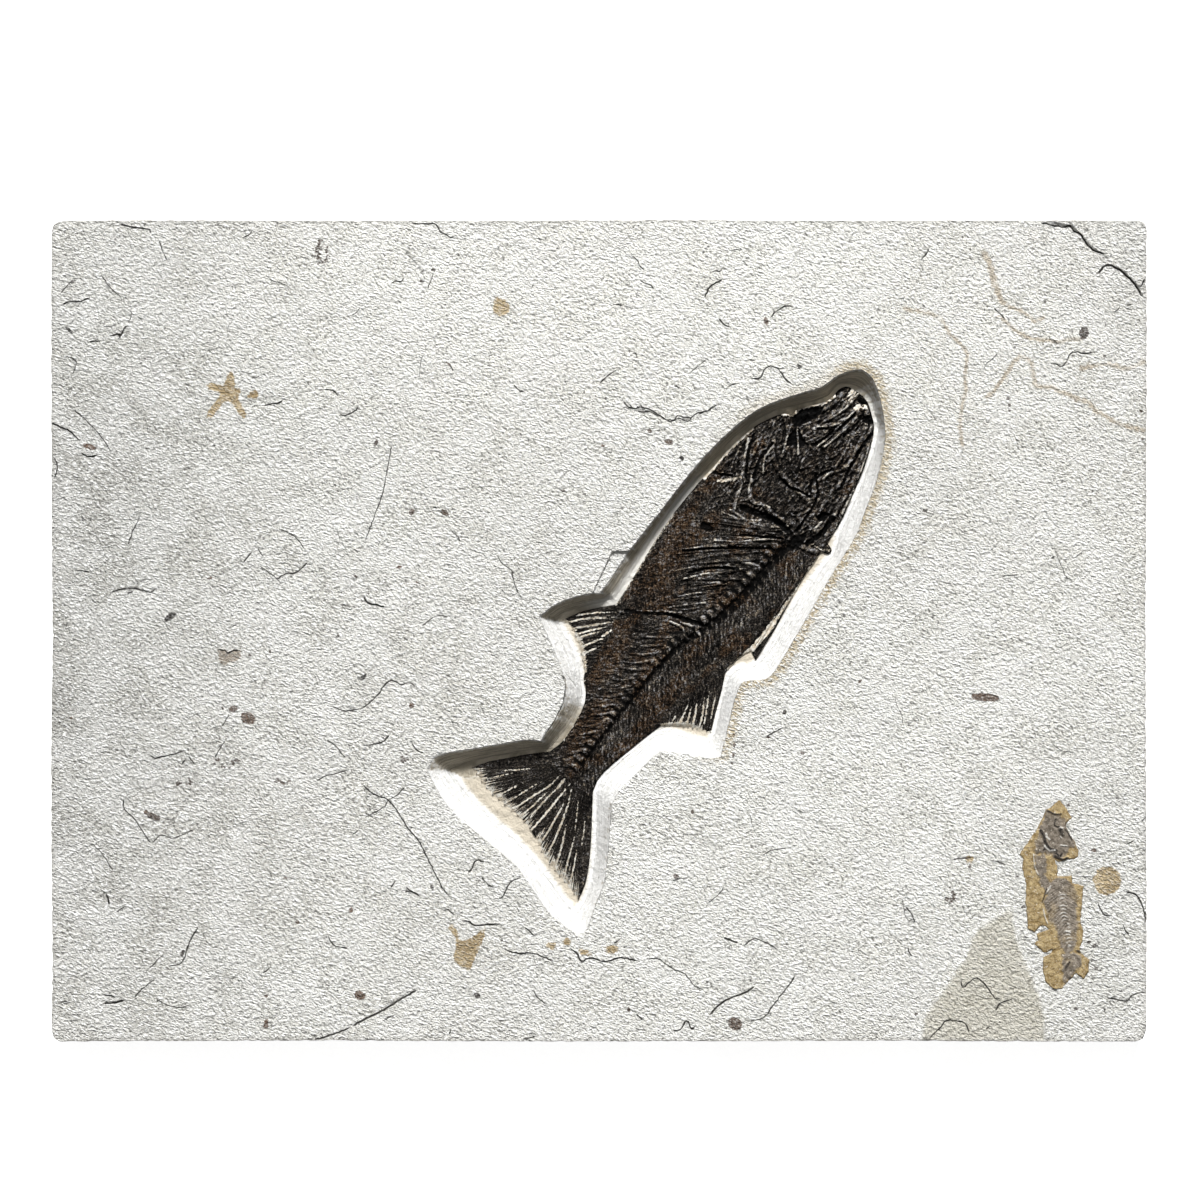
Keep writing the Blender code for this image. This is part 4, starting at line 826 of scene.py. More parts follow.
TRUNK = [
    [(9, 1), (10, -6), (14, -9.2), (26, -12.5), (38, -21.8), (43, -26), (60, -35.6), (90, -40.4),
     (128, -43.2), (167, -40.4), (190, -36.5), (212, -32), (229, -27.5), (241, -20.6), (264, -18.8),
     (279, -15), (280, 9)],
    [(280, 9), (260, 11), (238, 16.6), (222, 20), (200, 27), (178, 32), (150, 35.5), (112, 36.6), (87, 36),
     (60, 32), (29, 23.6), (14, 13), (9, 1)],
]
BACKBONE = [
    (90, 13), (97, 13.2), (111, 13), (125, 12), (140, 10.4), (155, 7.6), (165, 4.6), (175, 1.4), (187, -1.4),
    (200, -2.6), (215, -3.8), (232, -4.4), (252, -4.6), (277, -4.6),
]
VERTEBRA_PITCH = 5.2

# Bones of the head: (line, half width, height).
SKULL = [
    ([(15, 11), (24, 15.5), (36, 18.5), (46, 19)], 1.7, 1.4),
    ([(30, 22), (40, 25), (50, 27), (75, 30)], 1.8, 1.5),
    ([(46, 20), (55, 14), (63, 10.5)], 1.5, 1.2),
    ([(52, 24), (64, 21), (80, 22.5)], 1.6, 1.1),
    ([(18, 7.5), (30, 6), (45, 2.5)], 1.3, 1.3),
    ([(18, 4.5), (28, 2), (34, -3), (38, -8)], 1.3, 1.3),
    ([(12, -1), (22, -2.2), (34, -5.5)], 1.3, 1.2),
    ([(15, -6.5), (24, -8), (32, -12.5), (38, -17.5)], 1.7, 1.6),
    ([(44, -25), (50, -18), (57, -14), (63, -13)], 1.5, 1.2),
    ([(74.5, 14), (73, 5), (71.5, -6), (67, -16), (58, -22.5)], 2.0, 1.7),
    ([(90, 13), (92, 3), (91, -6), (93, -10.5), (90, -15.5), (82, -19.5)], 1.6, 1.6),
    ([(60, -29), (74, -26), (87, -22)], 1.2, 1.1),
    ([(62, -33), (76, -30), (88, -26)], 1.2, 1.1),
    ([(76, -30), (85, -24.5), (95, -20.5), (104, -17)], 1.6, 1.7),
    ([(88, -29), (90.5, -34), (93, -38.5)], 1.4, 1.3),
    ([(95, 33), (97, 26), (98, 22)], 1.6, 1.2),
]
# Thinner bones of the head and shoulder.
FINE_BONES = [
    ([(20, 17), (33, 21), (47, 23), (60, 27)], 0.8, 0.8),
    ([(17, 9.5), (28, 11), (40, 13.5), (50, 14)], 0.8, 0.8),
    ([(22, 5.5), (34, 4.5), (48, 6)], 0.7, 0.7),
    ([(30, 0), (42, -3), (50, -8)], 0.8, 0.8),
    ([(24, -4), (34, -8), (42, -14)], 0.8, 0.8),
    ([(48, 1), (50, -6), (54, -12)], 0.9, 0.8),
    ([(44, 9), (52, 7), (60, 2)], 0.7, 0.7),
    ([(58, 17), (66, 14), (74, 14)], 0.8, 0.7),
    ([(62, 26), (72, 26), (84, 29)], 0.8, 0.8),
    ([(78, 17), (84, 14), (92, 14)], 0.9, 0.9),
    ([(80, 25), (88, 23), (96, 22)], 0.8, 0.8),
    ([(50, -28), (60, -24), (70, -22)], 0.7, 0.7),
    ([(52, -31), (66, -29.5), (78, -27.5)], 0.6, 0.7),
    ([(64, -36), (78, -34), (88, -31)], 0.6, 0.7),
    ([(96, -12), (98, -20), (97, -30)], 0.9, 0.8),
    ([(99, -17), (104, -24), (112, -30)], 0.8, 0.8),
    ([(84, 33), (86, 26), (85, 20)], 0.9, 0.8),
    ([(66, 8), (67, 0), (65, -8)], 0.7, 0.6),
]
CHEEK = ((59, 0), (10, 11), 0.9)
GILL_COVER = ((82, -2), (8.5, 15), 1.2)

RIBS = [
    [(92, 13), (97, 2), (102, -8), (105, -19), (108, -30)],
    [(98, 13), (106, 2), (113, -10), (121, -20), (129, -30)],
    [(106, 12), (115, 0), (124, -13), (133, -22), (141, -31)],
    [(118, 10), (126, 0), (134, -10), (143, -20), (150, -28)],
    [(130, 8), (138, -4), (147, -13), (155, -20)],
    [(142, 6), (150, -4), (158, -13), (165, -19)],
    [(154, 4), (162, -5), (168, -12), (173, -18)],
]
# Bones among the ribs: (line, half width, height, share of pale colour).
RIB_BONES = [
    ([(93, 12), (99, 4), (103, -6), (104, -19)], 1.0, 1.3, 0.8),
    ([(101, 13), (108, 4), (115, -4), (123, -16)], 0.9, 1.2, 0.7),
    ([(119, -6), (127, -16), (136, -26)], 0.8, 1.0, 0.7),
    ([(132, 1), (141, -9), (150, -17)], 0.9, 1.3, 0.9),
    ([(113, 15.5), (119, 12), (122, 7), (124, 4)], 1.2, 1.0, 0.5),
    ([(104, 15), (112, 15.5)], 1.6, 1.0, 0.4),
    ([(170, 8), (169, 2), (171, -4)], 1.2, 1.4, 0.8), ([(177, 4), (173, -2), (174, -9)], 1.2, 1.3, 0.8),
    ([(167, -8), (173, -16), (179, -25), (186, -35)], 1.3, 1.5, 0.5),
    ([(106, 22), (116, 28), (124, 34)], 0.8, 0.8, 0.3), ([(150, 22), (158, 28), (166, 33)], 0.6, 0.6, 0.3),
]
DORSAL_SPINES = [
    [(112, 34.2), (134, 35.6), (156, 36.4)],
    [(120, 36), (141, 38.6), (161.5, 40.6)],
    [(132, 35.4), (146, 36.8), (159.5, 38)],
    [(126, 37), (146, 39.6), (162.5, 41.2)],
]
# Places where the pale stone shows through at the nose: (a, b, radius along, radius across).
NOSE_STONE = [(16, 5, 2.6, 2.0), (13.5, -0.8, 5.0, 0.8), (11, -2.8, 3.6, 0.9), (13.3, 8.2, 1.3, 1.6),
              (7.6, 1.5, 0.8, 3)]
# Pale edges of stone against the bone: (line, reach, share).
PALE_EDGES = [
    ([(19, -9.6), (24, -11.6), (30, -16.6), (36, -21.8), (40.5, -22.5), (43.5, -27)], 1.9, 1.0),
    ([(97, 36.6), (120, 37.6), (140, 37.2)], 1.8, 0.55), ([(140, 37.6), (152, 37.4), (166, 35.5),
                                                           (176, 33.2)], 2.2, 0.85),
    ([(60, -35.6), (76, -39), (98, -41)], 1.6, 0.75), ([(125, -43.2), (150, -41.8), (184, -39.3)], 1.2, 0.5),
    ([(38, 25.6), (60, 31.5), (84, 35.4)], 0.7, 0.45), ([(89, 40), (92, 36), (92.5, 31)], 0.9, 0.5),
    ([(86, -25), (91, -29), (95, -34)], 1.3, 0.7),
    ([(229, -28.5), (236, -23.4), (246, -20.2), (262, -18.6)], 1.0, 0.55),
]
# Pale gaps between the rays of the fins: (line, half width).
FIN_GAPS = [
    ([(305, 22), (315, 27), (323, 30.6)], 0.55), ([(301, 17.5), (310, 21), (318, 24), (326, 27.4)], 0.65),
    ([(299, 10), (310, 15), (318, 18), (324, 19.4)], 0.7),
    ([(282, 1), (290, 4.6), (300, 7.6), (310, 10), (323, 12)], 0.75),
    ([(289, 2), (300, 3.5), (309, 4.4), (319, 4.6)], 0.85), ([(308, 1.6), (319, 3)], 0.6),
    ([(279.6, -1.3), (292, -2), (302, -2.5), (316, -3.8)], 0.85), ([(279.4, -5.4), (286, -5.4)], 1.1),
    ([(285, -5.4), (294, -7), (308, -8.4)], 0.65), ([(279.6, -8.8), (288, -10), (295, -13), (303, -16),
                                                     (312, -19)], 0.75),
    ([(289, -8.6), (300, -10.5), (311, -12.8)], 0.6), ([(287, -14), (295, -18), (304, -21.5), (312, -26)],
                                                       0.5),
    ([(293, -22), (302, -26.5), (311, -31)], 0.5), ([(292, -29), (300, -36), (305, -40)], 0.35),
    ([(284, -22), (290, -28.5), (296, -36)], 0.3), ([(282, 6), (290, 11), (299, 16)], 0.3),
    ([(288, 15), (296, 20), (304, 24)], 0.3), ([(189, 34), (197, 37.5), (205, 41)], 0.45),
    ([(192, 31), (200, 35), (209, 39.6)], 0.5), ([(197, 31), (206, 36), (213, 38.6)], 0.7),
    ([(201, 29), (209, 33), (217, 35.6)], 0.8), ([(205, 28), (213, 31), (219, 32.6)], 0.8),
    ([(210, 27), (219, 28.6)], 0.8), ([(203, 25.4), (211, 27), (219, 28.6)], 0.45),
    ([(214, 24), (221, 25)], 0.6), ([(190, -35.6), (195, -42), (201, -49), (207, -54.6)], 0.7),
    ([(193, -35), (199, -41), (205, -47), (210, -52)], 0.75),
    ([(189.6, -39.4), (195, -46.5), (202, -53.6)], 0.55), ([(197, -36), (205, -43), (212, -49)], 0.7),
    ([(202, -38), (208, -43), (214, -46)], 0.8), ([(203, -33.6), (210, -38.4), (217, -42)], 0.8),
    ([(208, -33), (215, -36.6), (221, -38)], 0.8), ([(197, -33), (203, -35)], 0.9),
]
# Pale thin bones that stand out from the black ones.
BRIGHT_LINES = [
    [(17.5, 5.2), (22, 4.3), (27, 3), (32, 0.2), (36, -4), (38, -6.8)], [(21, 7.8), (32, 6.2), (45, 3)],
    [(28, 3.4), (38, 2), (47, -0.4)], [(9.5, 0.8), (19, 0.2), (26, -2), (33, -5)],
    [(30, 23), (44, 27.4)], [(40, 20.3), (47.5, 18.6), (52, 14.6), (60, 12.8)],
    [(90.2, -2), (91, -6), (93.3, -9.5), (92.8, -13.5), (89, -17), (83.5, -19.4)],
    [(66, -34), (76, -29.4), (88, -23)], [(93, -20.5), (99, -18.6), (103.6, -16.4)],
    [(61, -20.6), (70, -20), (77, -16)], [(46, -15), (52, -10), (57, -6.5)],
    [(80, 26.2), (84, 25.6), (87, 23.6)], [(58, 30.6), (69, 33)], [(52, -17), (61, -14)],
    [(88, -22.6), (93, -21)],
]
# Crevices of the head and shoulder, darkened with painted shade: (line, half width).
GROOVES = [
    ([(72, 13), (73, 6), (74.4, 0), (73, -5)], 0.9), ([(20, 20), (34, 20), (47, 21.5), (58, 24)], 1.1),
    ([(48, 18), (56, 11.6), (66, 9), (70, 12)], 0.9), ([(20, 6), (30, 4), (40, 0.5), (48, -3)], 1.0),
    ([(60, -21.6), (72, -22), (82, -19)], 1.0), ([(62, -33), (72, -29.5), (84, -22.6)], 0.9),
    ([(88, -29), (90.6, -34), (93.4, -40)], 1.0), ([(95, 15), (94, 5), (97, -6), (99, -14)], 2.2),
    ([(100, 14), (106, 4), (112, -6)], 0.8), ([(108, 12), (115, 2), (121, -8)], 0.7),
    ([(74, 30), (84, 30), (94, 27)], 1.8), ([(128, 4), (136, -8), (146, -17)], 0.9),
    ([(117, 0), (127, -14), (138, -27)], 0.7), ([(60, 8), (71, 16.5), (92, 18)], 0.8),
    ([(165, 6), (168, -3), (171, -12), (180, -26), (184, -33)], 1.3), ([(17, 9.5), (24, 10), (34, 8)], 0.8),
]
# Hollows darkened with painted shade, as closed outlines.
HOLLOWS = [
    [(27, -10), (33, -9.5), (40, -13), (46, -17), (42, -21), (37, -20.5), (31, -16), (27, -10)],
    [(49, -4), (54, -10), (57, -16), (50, -17), (45, -15.5), (48, -9), (49, -4)],
    [(14, 14), (18, 17.5), (21, 13), (19, 10), (14, 14)], [(9.5, 6), (12, 9), (14, 5), (13, 2), (9.5, 3)],
    [(73, 28), (75, 23), (80, 22), (79, 27), (73, 28)], [(88, 23), (97, 18), (104, 21), (96, 25), (88, 23)],
    [(117, -20), (121, -21), (122, -27), (118, -27), (117, -20)],
]
# Brown places on the body: (a, b, radius along, radius across).
WARM_SPOTS = [(116, -23, 7, 5), (246, -11, 24, 8), (88, -13, 4, 3), (56, 27, 6, 2.5), (236, 12, 24, 4),
              (66, -27, 6, 3), (97, -36, 9, 4), (128, -36, 22, 4), (168, -18, 9, 6), (150, -30, 26, 9),
              (212, -24, 22, 6), (212, 14, 28, 5)]

# ---------------------------------------------------------------- the small fish's outlines

SMALL_OUTLINE = [
    (-3.0, 0.8), (2.0, 3.9), (7.8, 6.6), (9.9, 3.4), (11.9, 2.7), (17.1, 4.2), (21.6, 6.6), (26.0, 7.7),
    (29.3, 7.3), (30.7, 5.0), (30.3, 1.7), (31.2, -3.4), (30.2, -5.8), (34.5, -4.7), (39.0, -5.6),
    (39.4, -2.8), (39.6, 2.3), (43.8, 2.2), (46.2, 8.2), (56.0, 6.1), (65.8, 4.1), (71.0, 5.1), (75.9, 4.1),
    (80.7, 1.8), (83.3, 2.4), (87.1, 6.5), (93.7, 5.3), (97.5, 1.9), (94.1, -1.9), (97.0, -5.6),
    (101.4, -10.4), (101.2, -15.4), (96.5, -19.4), (89.8, -19.9), (82.6, -18.9), (81.4, -14.6),
    (79.2, -13.2), (80.6, -18.2), (77.6, -20.4), (74.4, -23.2), (73.4, -20.4), (69.4, -20.9), (67.6, -13.6),
    (65.6, -15.4), (65.4, -18.6), (68.4, -21.8), (66.4, -25.4), (59.7, -25.0), (51.4, -24.8), (40.6, -23.5),
    (32.1, -24.5), (27.2, -23.1), (24.5, -24.9), (19.2, -20.4), (11.6, -13.6), (6.2, -10.0), (1.4, -7.3),
    (0.5, -4.7),
]
# Where the film is grey-brown: the skull, the body and the middle of the tail.
SMALL_GREY = [
    [(1.5, -6.9), (3.6, -3.4), (5.8, 0.5), (8.6, 3.1), (12.9, 3.9), (19, 5.6), (23.3, 6.8), (24.2, 3.3),
     (27.6, 0.4), (30.5, -3.3), (27.5, -7.2), (25.3, -11.1), (25.5, -16.6), (23, -16.7), (14.1, -13.5),
     (7.8, -10.2)],
    [(25.5, -16.6), (25.8, -11.2), (30.5, -10.1), (37, -12.1), (41.4, -10.6), (40.1, -7), (40, -4.5),
     (41.8, -0.1), (45.6, 3.2), (50.7, 4.3), (60.6, 2.6), (67.3, 2.6), (75.6, 1.2), (80.3, -1.1),
     (82.5, -3.8), (82.2, -6.3), (78.6, -8.4), (70.9, -9.1), (65.8, -10.2), (62.8, -13.6), (57, -13.3),
     (52.5, -15.3), (48.7, -12.3), (43.3, -15), (36.4, -16.7), (31.3, -17.3)],
    [(82, -8), (81.9, -2.1), (83.6, 1.9), (89.9, 2), (92, -1.7), (96.6, -5.6), (98.7, -8.8), (94.4, -9.5),
     (86.9, -9)],
]
# Its blackest bones and its palest ones: (line, half width).
SMALL_BLACK = [
    ([(12.7, -11.7), (15.4, -10.3), (19.2, -9.9), (23, -7.9), (24.7, -4.3)], 1.1),
    ([(13.3, -0.8), (16, 0.1)], 1.5), ([(13.7, 2.1), (16.2, 3.6), (19.7, 4.7)], 0.6),
    ([(27.7, -5.5), (30, -1.6), (29.4, 1.4)], 0.8), ([(25.2, -5.2), (28, -3), (26.5, -1.6)], 0.8),
    ([(89.7, -7.1), (87, -4.6)], 0.8), ([(22.1, -9.9), (23.2, -11.3)], 0.9),
    ([(81.4, 0.5), (82.9, 2.8)], 0.7), ([(44.9, -12.3), (52.1, -15.6)], 0.45),
    ([(2, -6.6), (4.5, -2.7), (4.8, 0.7)], 0.6), ([(100.2, -17), (102, -11.5)], 0.5),
    ([(7, -2.5), (10.5, -3.6), (12, -0.5)], 0.5),
]
SMALL_PALE = [
    ([(21.2, -10.6), (24.2, -8.3), (24.4, -5.1)], 0.6), ([(16.4, -8.9), (18.2, -7.5)], 0.7),
    ([(12.2, -0.3), (12.8, 0.7)], 0.6), ([(14.7, -9), (15.6, -8.6)], 0.6),
    ([(69.8, -4.4), (70.9, -2.4)], 0.7), ([(43.9, -10), (47.8, -13)], 0.45),
    ([(25, -17.3), (32, -17.4), (37, -16)], 0.4), ([(56, -15.5), (60, -15.2), (64.5, -14.2)], 0.4),
    ([(17.3, -1.2), (18.4, -0.6)], 0.4), ([(22, -2), (23, 2)], 0.4),
]
SMALL_BACKBONE = [(50, -4.2), (59, -4.8), (66.9, -4), (71.6, -3.5), (77, -3.6)]

# ---------------------------------------------------------------- the plate


def swell(points):
    """The plate's slight unevenness, from 0 down to about -0.5 mm."""
    x, y = points.T
    wave = np.sin(x / 47 + 0.6) * np.cos(y / 39 - 0.4) + 0.6 * np.sin(x / 23 - y / 31)
    wave = wave + 0.4 * np.cos(x / 17 + y / 13)
    return 0.12 * (wave - 2.0)


def jagged(line):
    """A crack's line, with small sharp turns."""
    return wobbled(smooth(line, CRACK_STEP), 1.1, 0.42, 67)


def stray_cracks(rim, small):
    """More short flake edges, scattered over the face, with their half widths and steps."""
    rough = np.random.default_rng(407)
    coarse = rim[::6]
    found = []
    while len(found) < 34:
        at = np.array([rough.uniform(-296, 296), rough.uniform(-220, 220)])
        heading = math.radians(rough.normal(-28, 38))
        turn = rough.normal(0, 0.05)
        length = rough.uniform(5, 34) * rough.uniform(0.5, 1)
        line = [at]
        for _ in range(max(3, int(length / 2.2))):
            heading += turn + rough.normal(0, 0.24)
            line.append(line[-1] + 2.2 * np.array([math.cos(heading), math.sin(heading)]))
        line = np.array(line)
        width = rough.uniform(0.12, 0.18)
        step = rough.uniform(0.25, 0.6) * rough.choice([-1, 1])
        if np.abs(line[:, 0]).max() > 301 or np.abs(line[:, 1]).max() > 225:
            continue
        if inside(line, coarse).any() or to_line(line, ring(coarse), 8)[0].min() < 6:
            continue
        if inside(line, small).any():
            continue
        found.append((line, width, step))
    return found


def grey_flecks():
    """The small flecks that make up the grey marks."""
    rough = np.random.default_rng(611)
    flecks = []
    for cx, cy, wide, tall, count in GREY_MARKS:
        for _ in range(count):
            far, turn = math.sqrt(rough.uniform(0, 1)), rough.uniform(0, 2 * math.pi)
            flecks.append((cx + wide * far * math.cos(turn), cy + tall * far * math.sin(turn),
                           rough.uniform(0.6, 1.4), rough.uniform(0.35, 0.6), rough.uniform(0, 180), 0.35))
    return flecks


def over_marks(marks, step):
    """A fine lattice over each small mark, so that its outline comes out crisp."""
    parts = []
    for cx, cy, long, short, degrees, _ in marks:
        turn = math.radians(degrees)
        u, v = np.meshgrid(np.arange(-long - step, long + 1.1 * step, step),
                           np.arange(-short - step, short + 1.1 * step, step))
        u, v = u.ravel(), v.ravel()
        near = np.hypot(u / (long + step), v / (short + step)) < 1.2
        u, v = u[near], v[near]
        parts.append(np.column_stack([cx + u * math.cos(turn) - v * math.sin(turn),
                                      cy + u * math.sin(turn) + v * math.cos(turn)]))
    together = np.vstack(parts)
    return together[np.unique(np.round(together / (0.8 * step)), axis=0, return_index=True)[1]]


def slab_shapes():
    """The outlines, lines and marks on the plate."""
    shapes = SimpleNamespace()
    shapes.edge = closed_outline(PLATE_EDGE, EDGE_STEP)
    shapes.rim = wobbled(placed(closed_outline(RECESS_RIM, 1.1), SNOUT, FISH_HEADING), 2.4, 0.22, 61)
    shapes.foot = wobbled(placed(closed_outline(RECESS_FOOT, 1.2), SNOUT, FISH_HEADING), 3, 0.3, 63)
    shapes.fish = placed(fish_outline(2.0), SNOUT, FISH_HEADING)
    shapes.small = placed(straight(ring(np.array(SMALL_OUTLINE)), 2.0)[:-1], SMALL_SNOUT, SMALL_HEADING)
    shapes.ledge = placed(LEDGE, SNOUT, FISH_HEADING)
    shapes.layers = [np.array(CORNER_LAYER, float), np.array(LOWER_LAYER, float)]
    shapes.cracks = [(jagged(line), width, step) for line, width, step in CRACKS]
    shapes.cracks += stray_cracks(shapes.rim, shapes.small)
    shapes.stains = [(smooth(line, CRACK_STEP), width) for line, width in STAINS]
    shapes.marks = SPECKS + grey_flecks()
    return shapes


def worn_edge(edge):
    """Along the plate's edge: the length so far, the small nibbles, the shoulder's width and the way out."""
    along = np.concatenate([[0], np.cumsum(np.linalg.norm(np.diff(edge, axis=0), axis=1))])
    chip = np.clip(noise(along / 6, 0.5, 31), 0, 1) ** 2 * 1.5
    chip += np.clip(noise(along / 30, 3.5, 32), 0.1, 1) * 0.5
    nibble = 0.6 * np.clip(noise(along / 3.4, 6.5, 33), 0, 1)
    nibble += 0.3 * np.clip(noise(along / 2.1, 8.5, 34), 0, 1)
    shoulder = 0.25 + 0.5 * chip + nibble
    heading = np.roll(edge, -1, axis=0) - np.roll(edge, 1, axis=0)
    outward = np.column_stack([heading[:, 1], -heading[:, 0]])
    outward /= np.linalg.norm(outward, axis=1)[:, None]
    return along, nibble, shoulder, outward


def crease_lines(shapes, patch):
    """The lines that the face's triangles keep, as far as they run inside the patch."""
    ledge_line = straight(shapes.ledge[:4], 1.5)
    ledge_foot = offset(ledge_line, LEDGE_RUN * turning(shapes.ledge))
    lines = [ring(shapes.rim), ring(shapes.foot), ledge_line, ledge_foot]
    for line, width, _ in shapes.cracks:
        lines += [line, offset(line, width), offset(line, -width)]
    lines += [line for line, _ in shapes.stains]
    for layer in shapes.layers:
        layer_line = straight(ring(layer), 1.6)
        lines += [layer_line, offset(layer_line, LAYER_RUN * turning(layer))]
    together = np.vstack(lines)
    good = inside(together, patch) & (to_line(together, ring(patch), 1.0)[0] > 0.5)
    kept = []
    for line, mask in zip(lines, np.split(good, np.cumsum([len(line) for line in lines])[:-1])):
        runs = np.split(np.arange(len(line)), np.flatnonzero(np.diff(mask.astype(int))) + 1)
        kept += [line[run] for run in runs if mask[run[0]] and len(run) > 1]
    return kept


def face_filling(shapes, patch, kept):
    """The points between the creases of the face, closer together over each mark."""
    face = lattice(shapes.edge.min(axis=0), shapes.edge.max(axis=0), FACE_STEP, 11)
    face = face[inside(face, patch) & ~inside(face, shapes.rim)]
    face = away_from(away_from(face, patch, 0.9), shapes.rim, 0.7)
    face = face[clear_of(face, kept, 0.8)]
    spots = over_marks(shapes.marks, MARK_STEP)
    spots = spots[inside(spots, patch) & ~inside(spots, shapes.rim)]
    spots = away_from(spots, patch, 0.9)
    spots = spots[clear_of(spots, kept, 0.5)]
    return np.vstack([face[clear_of(face, [spots], 0.8)], spots])


def recess_filling(shapes):
    """The points on the recess's walls, on its floor round the fish and, far apart, under the fish."""
    rim, foot = shapes.rim, shapes.foot
    low, high = rim.min(axis=0), rim.max(axis=0)
    wall = lattice(low, high, WALL_STEP, 12)
    wall = wall[inside(wall, rim) & ~inside(wall, foot)]
    wall = away_from(away_from(wall, rim, 0.5), foot, 0.5)
    fringe = lattice(low, high, FRINGE_STEP, 13)
    fringe = away_from(fringe[inside(fringe, foot)], foot, 0.6)
    fringe = fringe[depth_in(fringe, shapes.fish, 4.0) < 2.5]
    hidden = lattice(low, high, HIDDEN_STEP, 14)
    hidden = hidden[depth_in(hidden, shapes.fish, 8.0) > 5.0]
    return np.vstack([wall, fringe, hidden])


def edge_rows(edge, wear, top):
    """The rows of points down the plate's broken edge, below the border of the face."""
    along, nibble, shoulder, outward = wear
    rows = []
    for row, level in enumerate(EDGE_LEVELS):
        bed = 0.5 * noise(along / 40, 10.5 * row, 41 + row)
        rugged = 0.35 * noise(along / 5, 0.37 * level, 71) + 0.2 * noise(along / 2.2, 0.8 * level, 72)
        inward = np.clip(0.1 + nibble + 0.6 * bed + 0.8 * rugged, 0.0, 1.4)
        z = level + 0.35 * noise(along / 7, 5.1 * row, 91) * (0.5 < level)
        if row == 0:
            inward = np.minimum(0.6 * nibble + 0.3 * inward, shoulder - 0.15)
            z = np.minimum(top - 0.3 - 0.6 * shoulder, 23.6)
        if level <= 0.5:
            inward = inward + 0.5 - level
        rows.append(np.column_stack([edge - outward * inward[:, None], z]))
    return rows


def underside(edge, border, border_row, count):
    """The slightly hollow underside: its points, which come after count others, and its triangles."""
    filling = lattice(edge.min(axis=0), edge.max(axis=0), UNDERSIDE_STEP, 15)
    filling = away_from(filling[inside(filling, border)], border, 5.0, 9.0)
    flat, faces, place = triangulate(border, [], filling)
    index = np.arange(count, count + len(flat))
    for source, new in place.items():
        index[new] = border_row[source]
    hollow = np.clip(0.25 + 0.25 * fractal(flat[:, 0] / 40, flat[:, 1] / 40, 51), 0, 0.8)
    hollow *= ease(to_line(flat, ring(border), 12.0)[0], 1.0, 11.0)
    return np.column_stack([flat, hollow]), index[faces][:, ::-1]


def build_slab():
    """The plate in one closed mesh: its face with the recess, its broken edge and its underside."""
    shapes = slab_shapes()
    edge = shapes.edge
    wear = worn_edge(edge)
    _, _, shoulder, outward = wear
    patch = edge - outward * shoulder[:, None]
    kept = crease_lines(shapes, patch)
    filling = np.vstack([face_filling(shapes, patch, kept), recess_filling(shapes)])
    flat, faces, place = triangulate(patch, kept, filling)
    heights, masks = plate_relief(flat, shapes)

    loop = np.array([place[i] for i in range(len(edge))])
    sides = edge_rows(edge, wear, heights[loop])
    rows = [loop] + list(len(flat) + np.arange(len(sides) * len(edge)).reshape(len(sides), -1))
    below, under = underside(edge, sides[-1][:, :2], rows[-1], rows[-1][-1] + 1)
    bands = [band(upper, lower) for upper, lower in zip(rows[:-1], rows[1:])]
    everything = np.vstack([faces] + bands + [under])
    points = np.vstack([np.column_stack([flat, heights])] + sides + [below])
    used, everything = np.unique(everything, return_inverse=True)
    spare = len(points) - len(flat)
    masks = {key: np.append(values, np.full(spare, fill))[used] for key, (values, fill) in masks.items()}
    side = np.zeros(len(points))
    side[len(flat):] = 1
    side[loop] = 0.5
    masks["side"] = side[used]
    return mesh_object("limestone_plate", points[used], everything.reshape(-1, 3), masks, limestone(), 42)


def fish_outline(step):
    """The large fish's outline in its own frame, with the frayed ends of its fins."""
    tail = list(reversed(frayed_edge(TAIL_UPPER, 1.0) + frayed_edge(TAIL_LOWER, 1.0)))
    anal = frayed_edge(ANAL, 0.8)
    dorsal = list(reversed(frayed_edge(SECOND_DORSAL, 0.8)))
    runs = [HEAD_BELOW, JAW_CORNER, BELLY, ANAL_FRONT]
    runs += [[p, q] for p, q in zip(anal[:-1], anal[1:])]
    runs += [VENT_TO_TAIL, TAIL_BELOW]
    runs += [[p, q] for p, q in zip(tail[:-1], tail[1:])]
    runs += [TAIL_ABOVE, TAIL_STALK]
    runs += [[p, q] for p, q in zip(dorsal[:-1], dorsal[1:])]
    runs += [DORSAL_FRONT, BACK_STEP, DORSAL_TIP, FIRST_DORSAL, NAPE_NUB, NAPE]
    return closed_outline(runs, step)


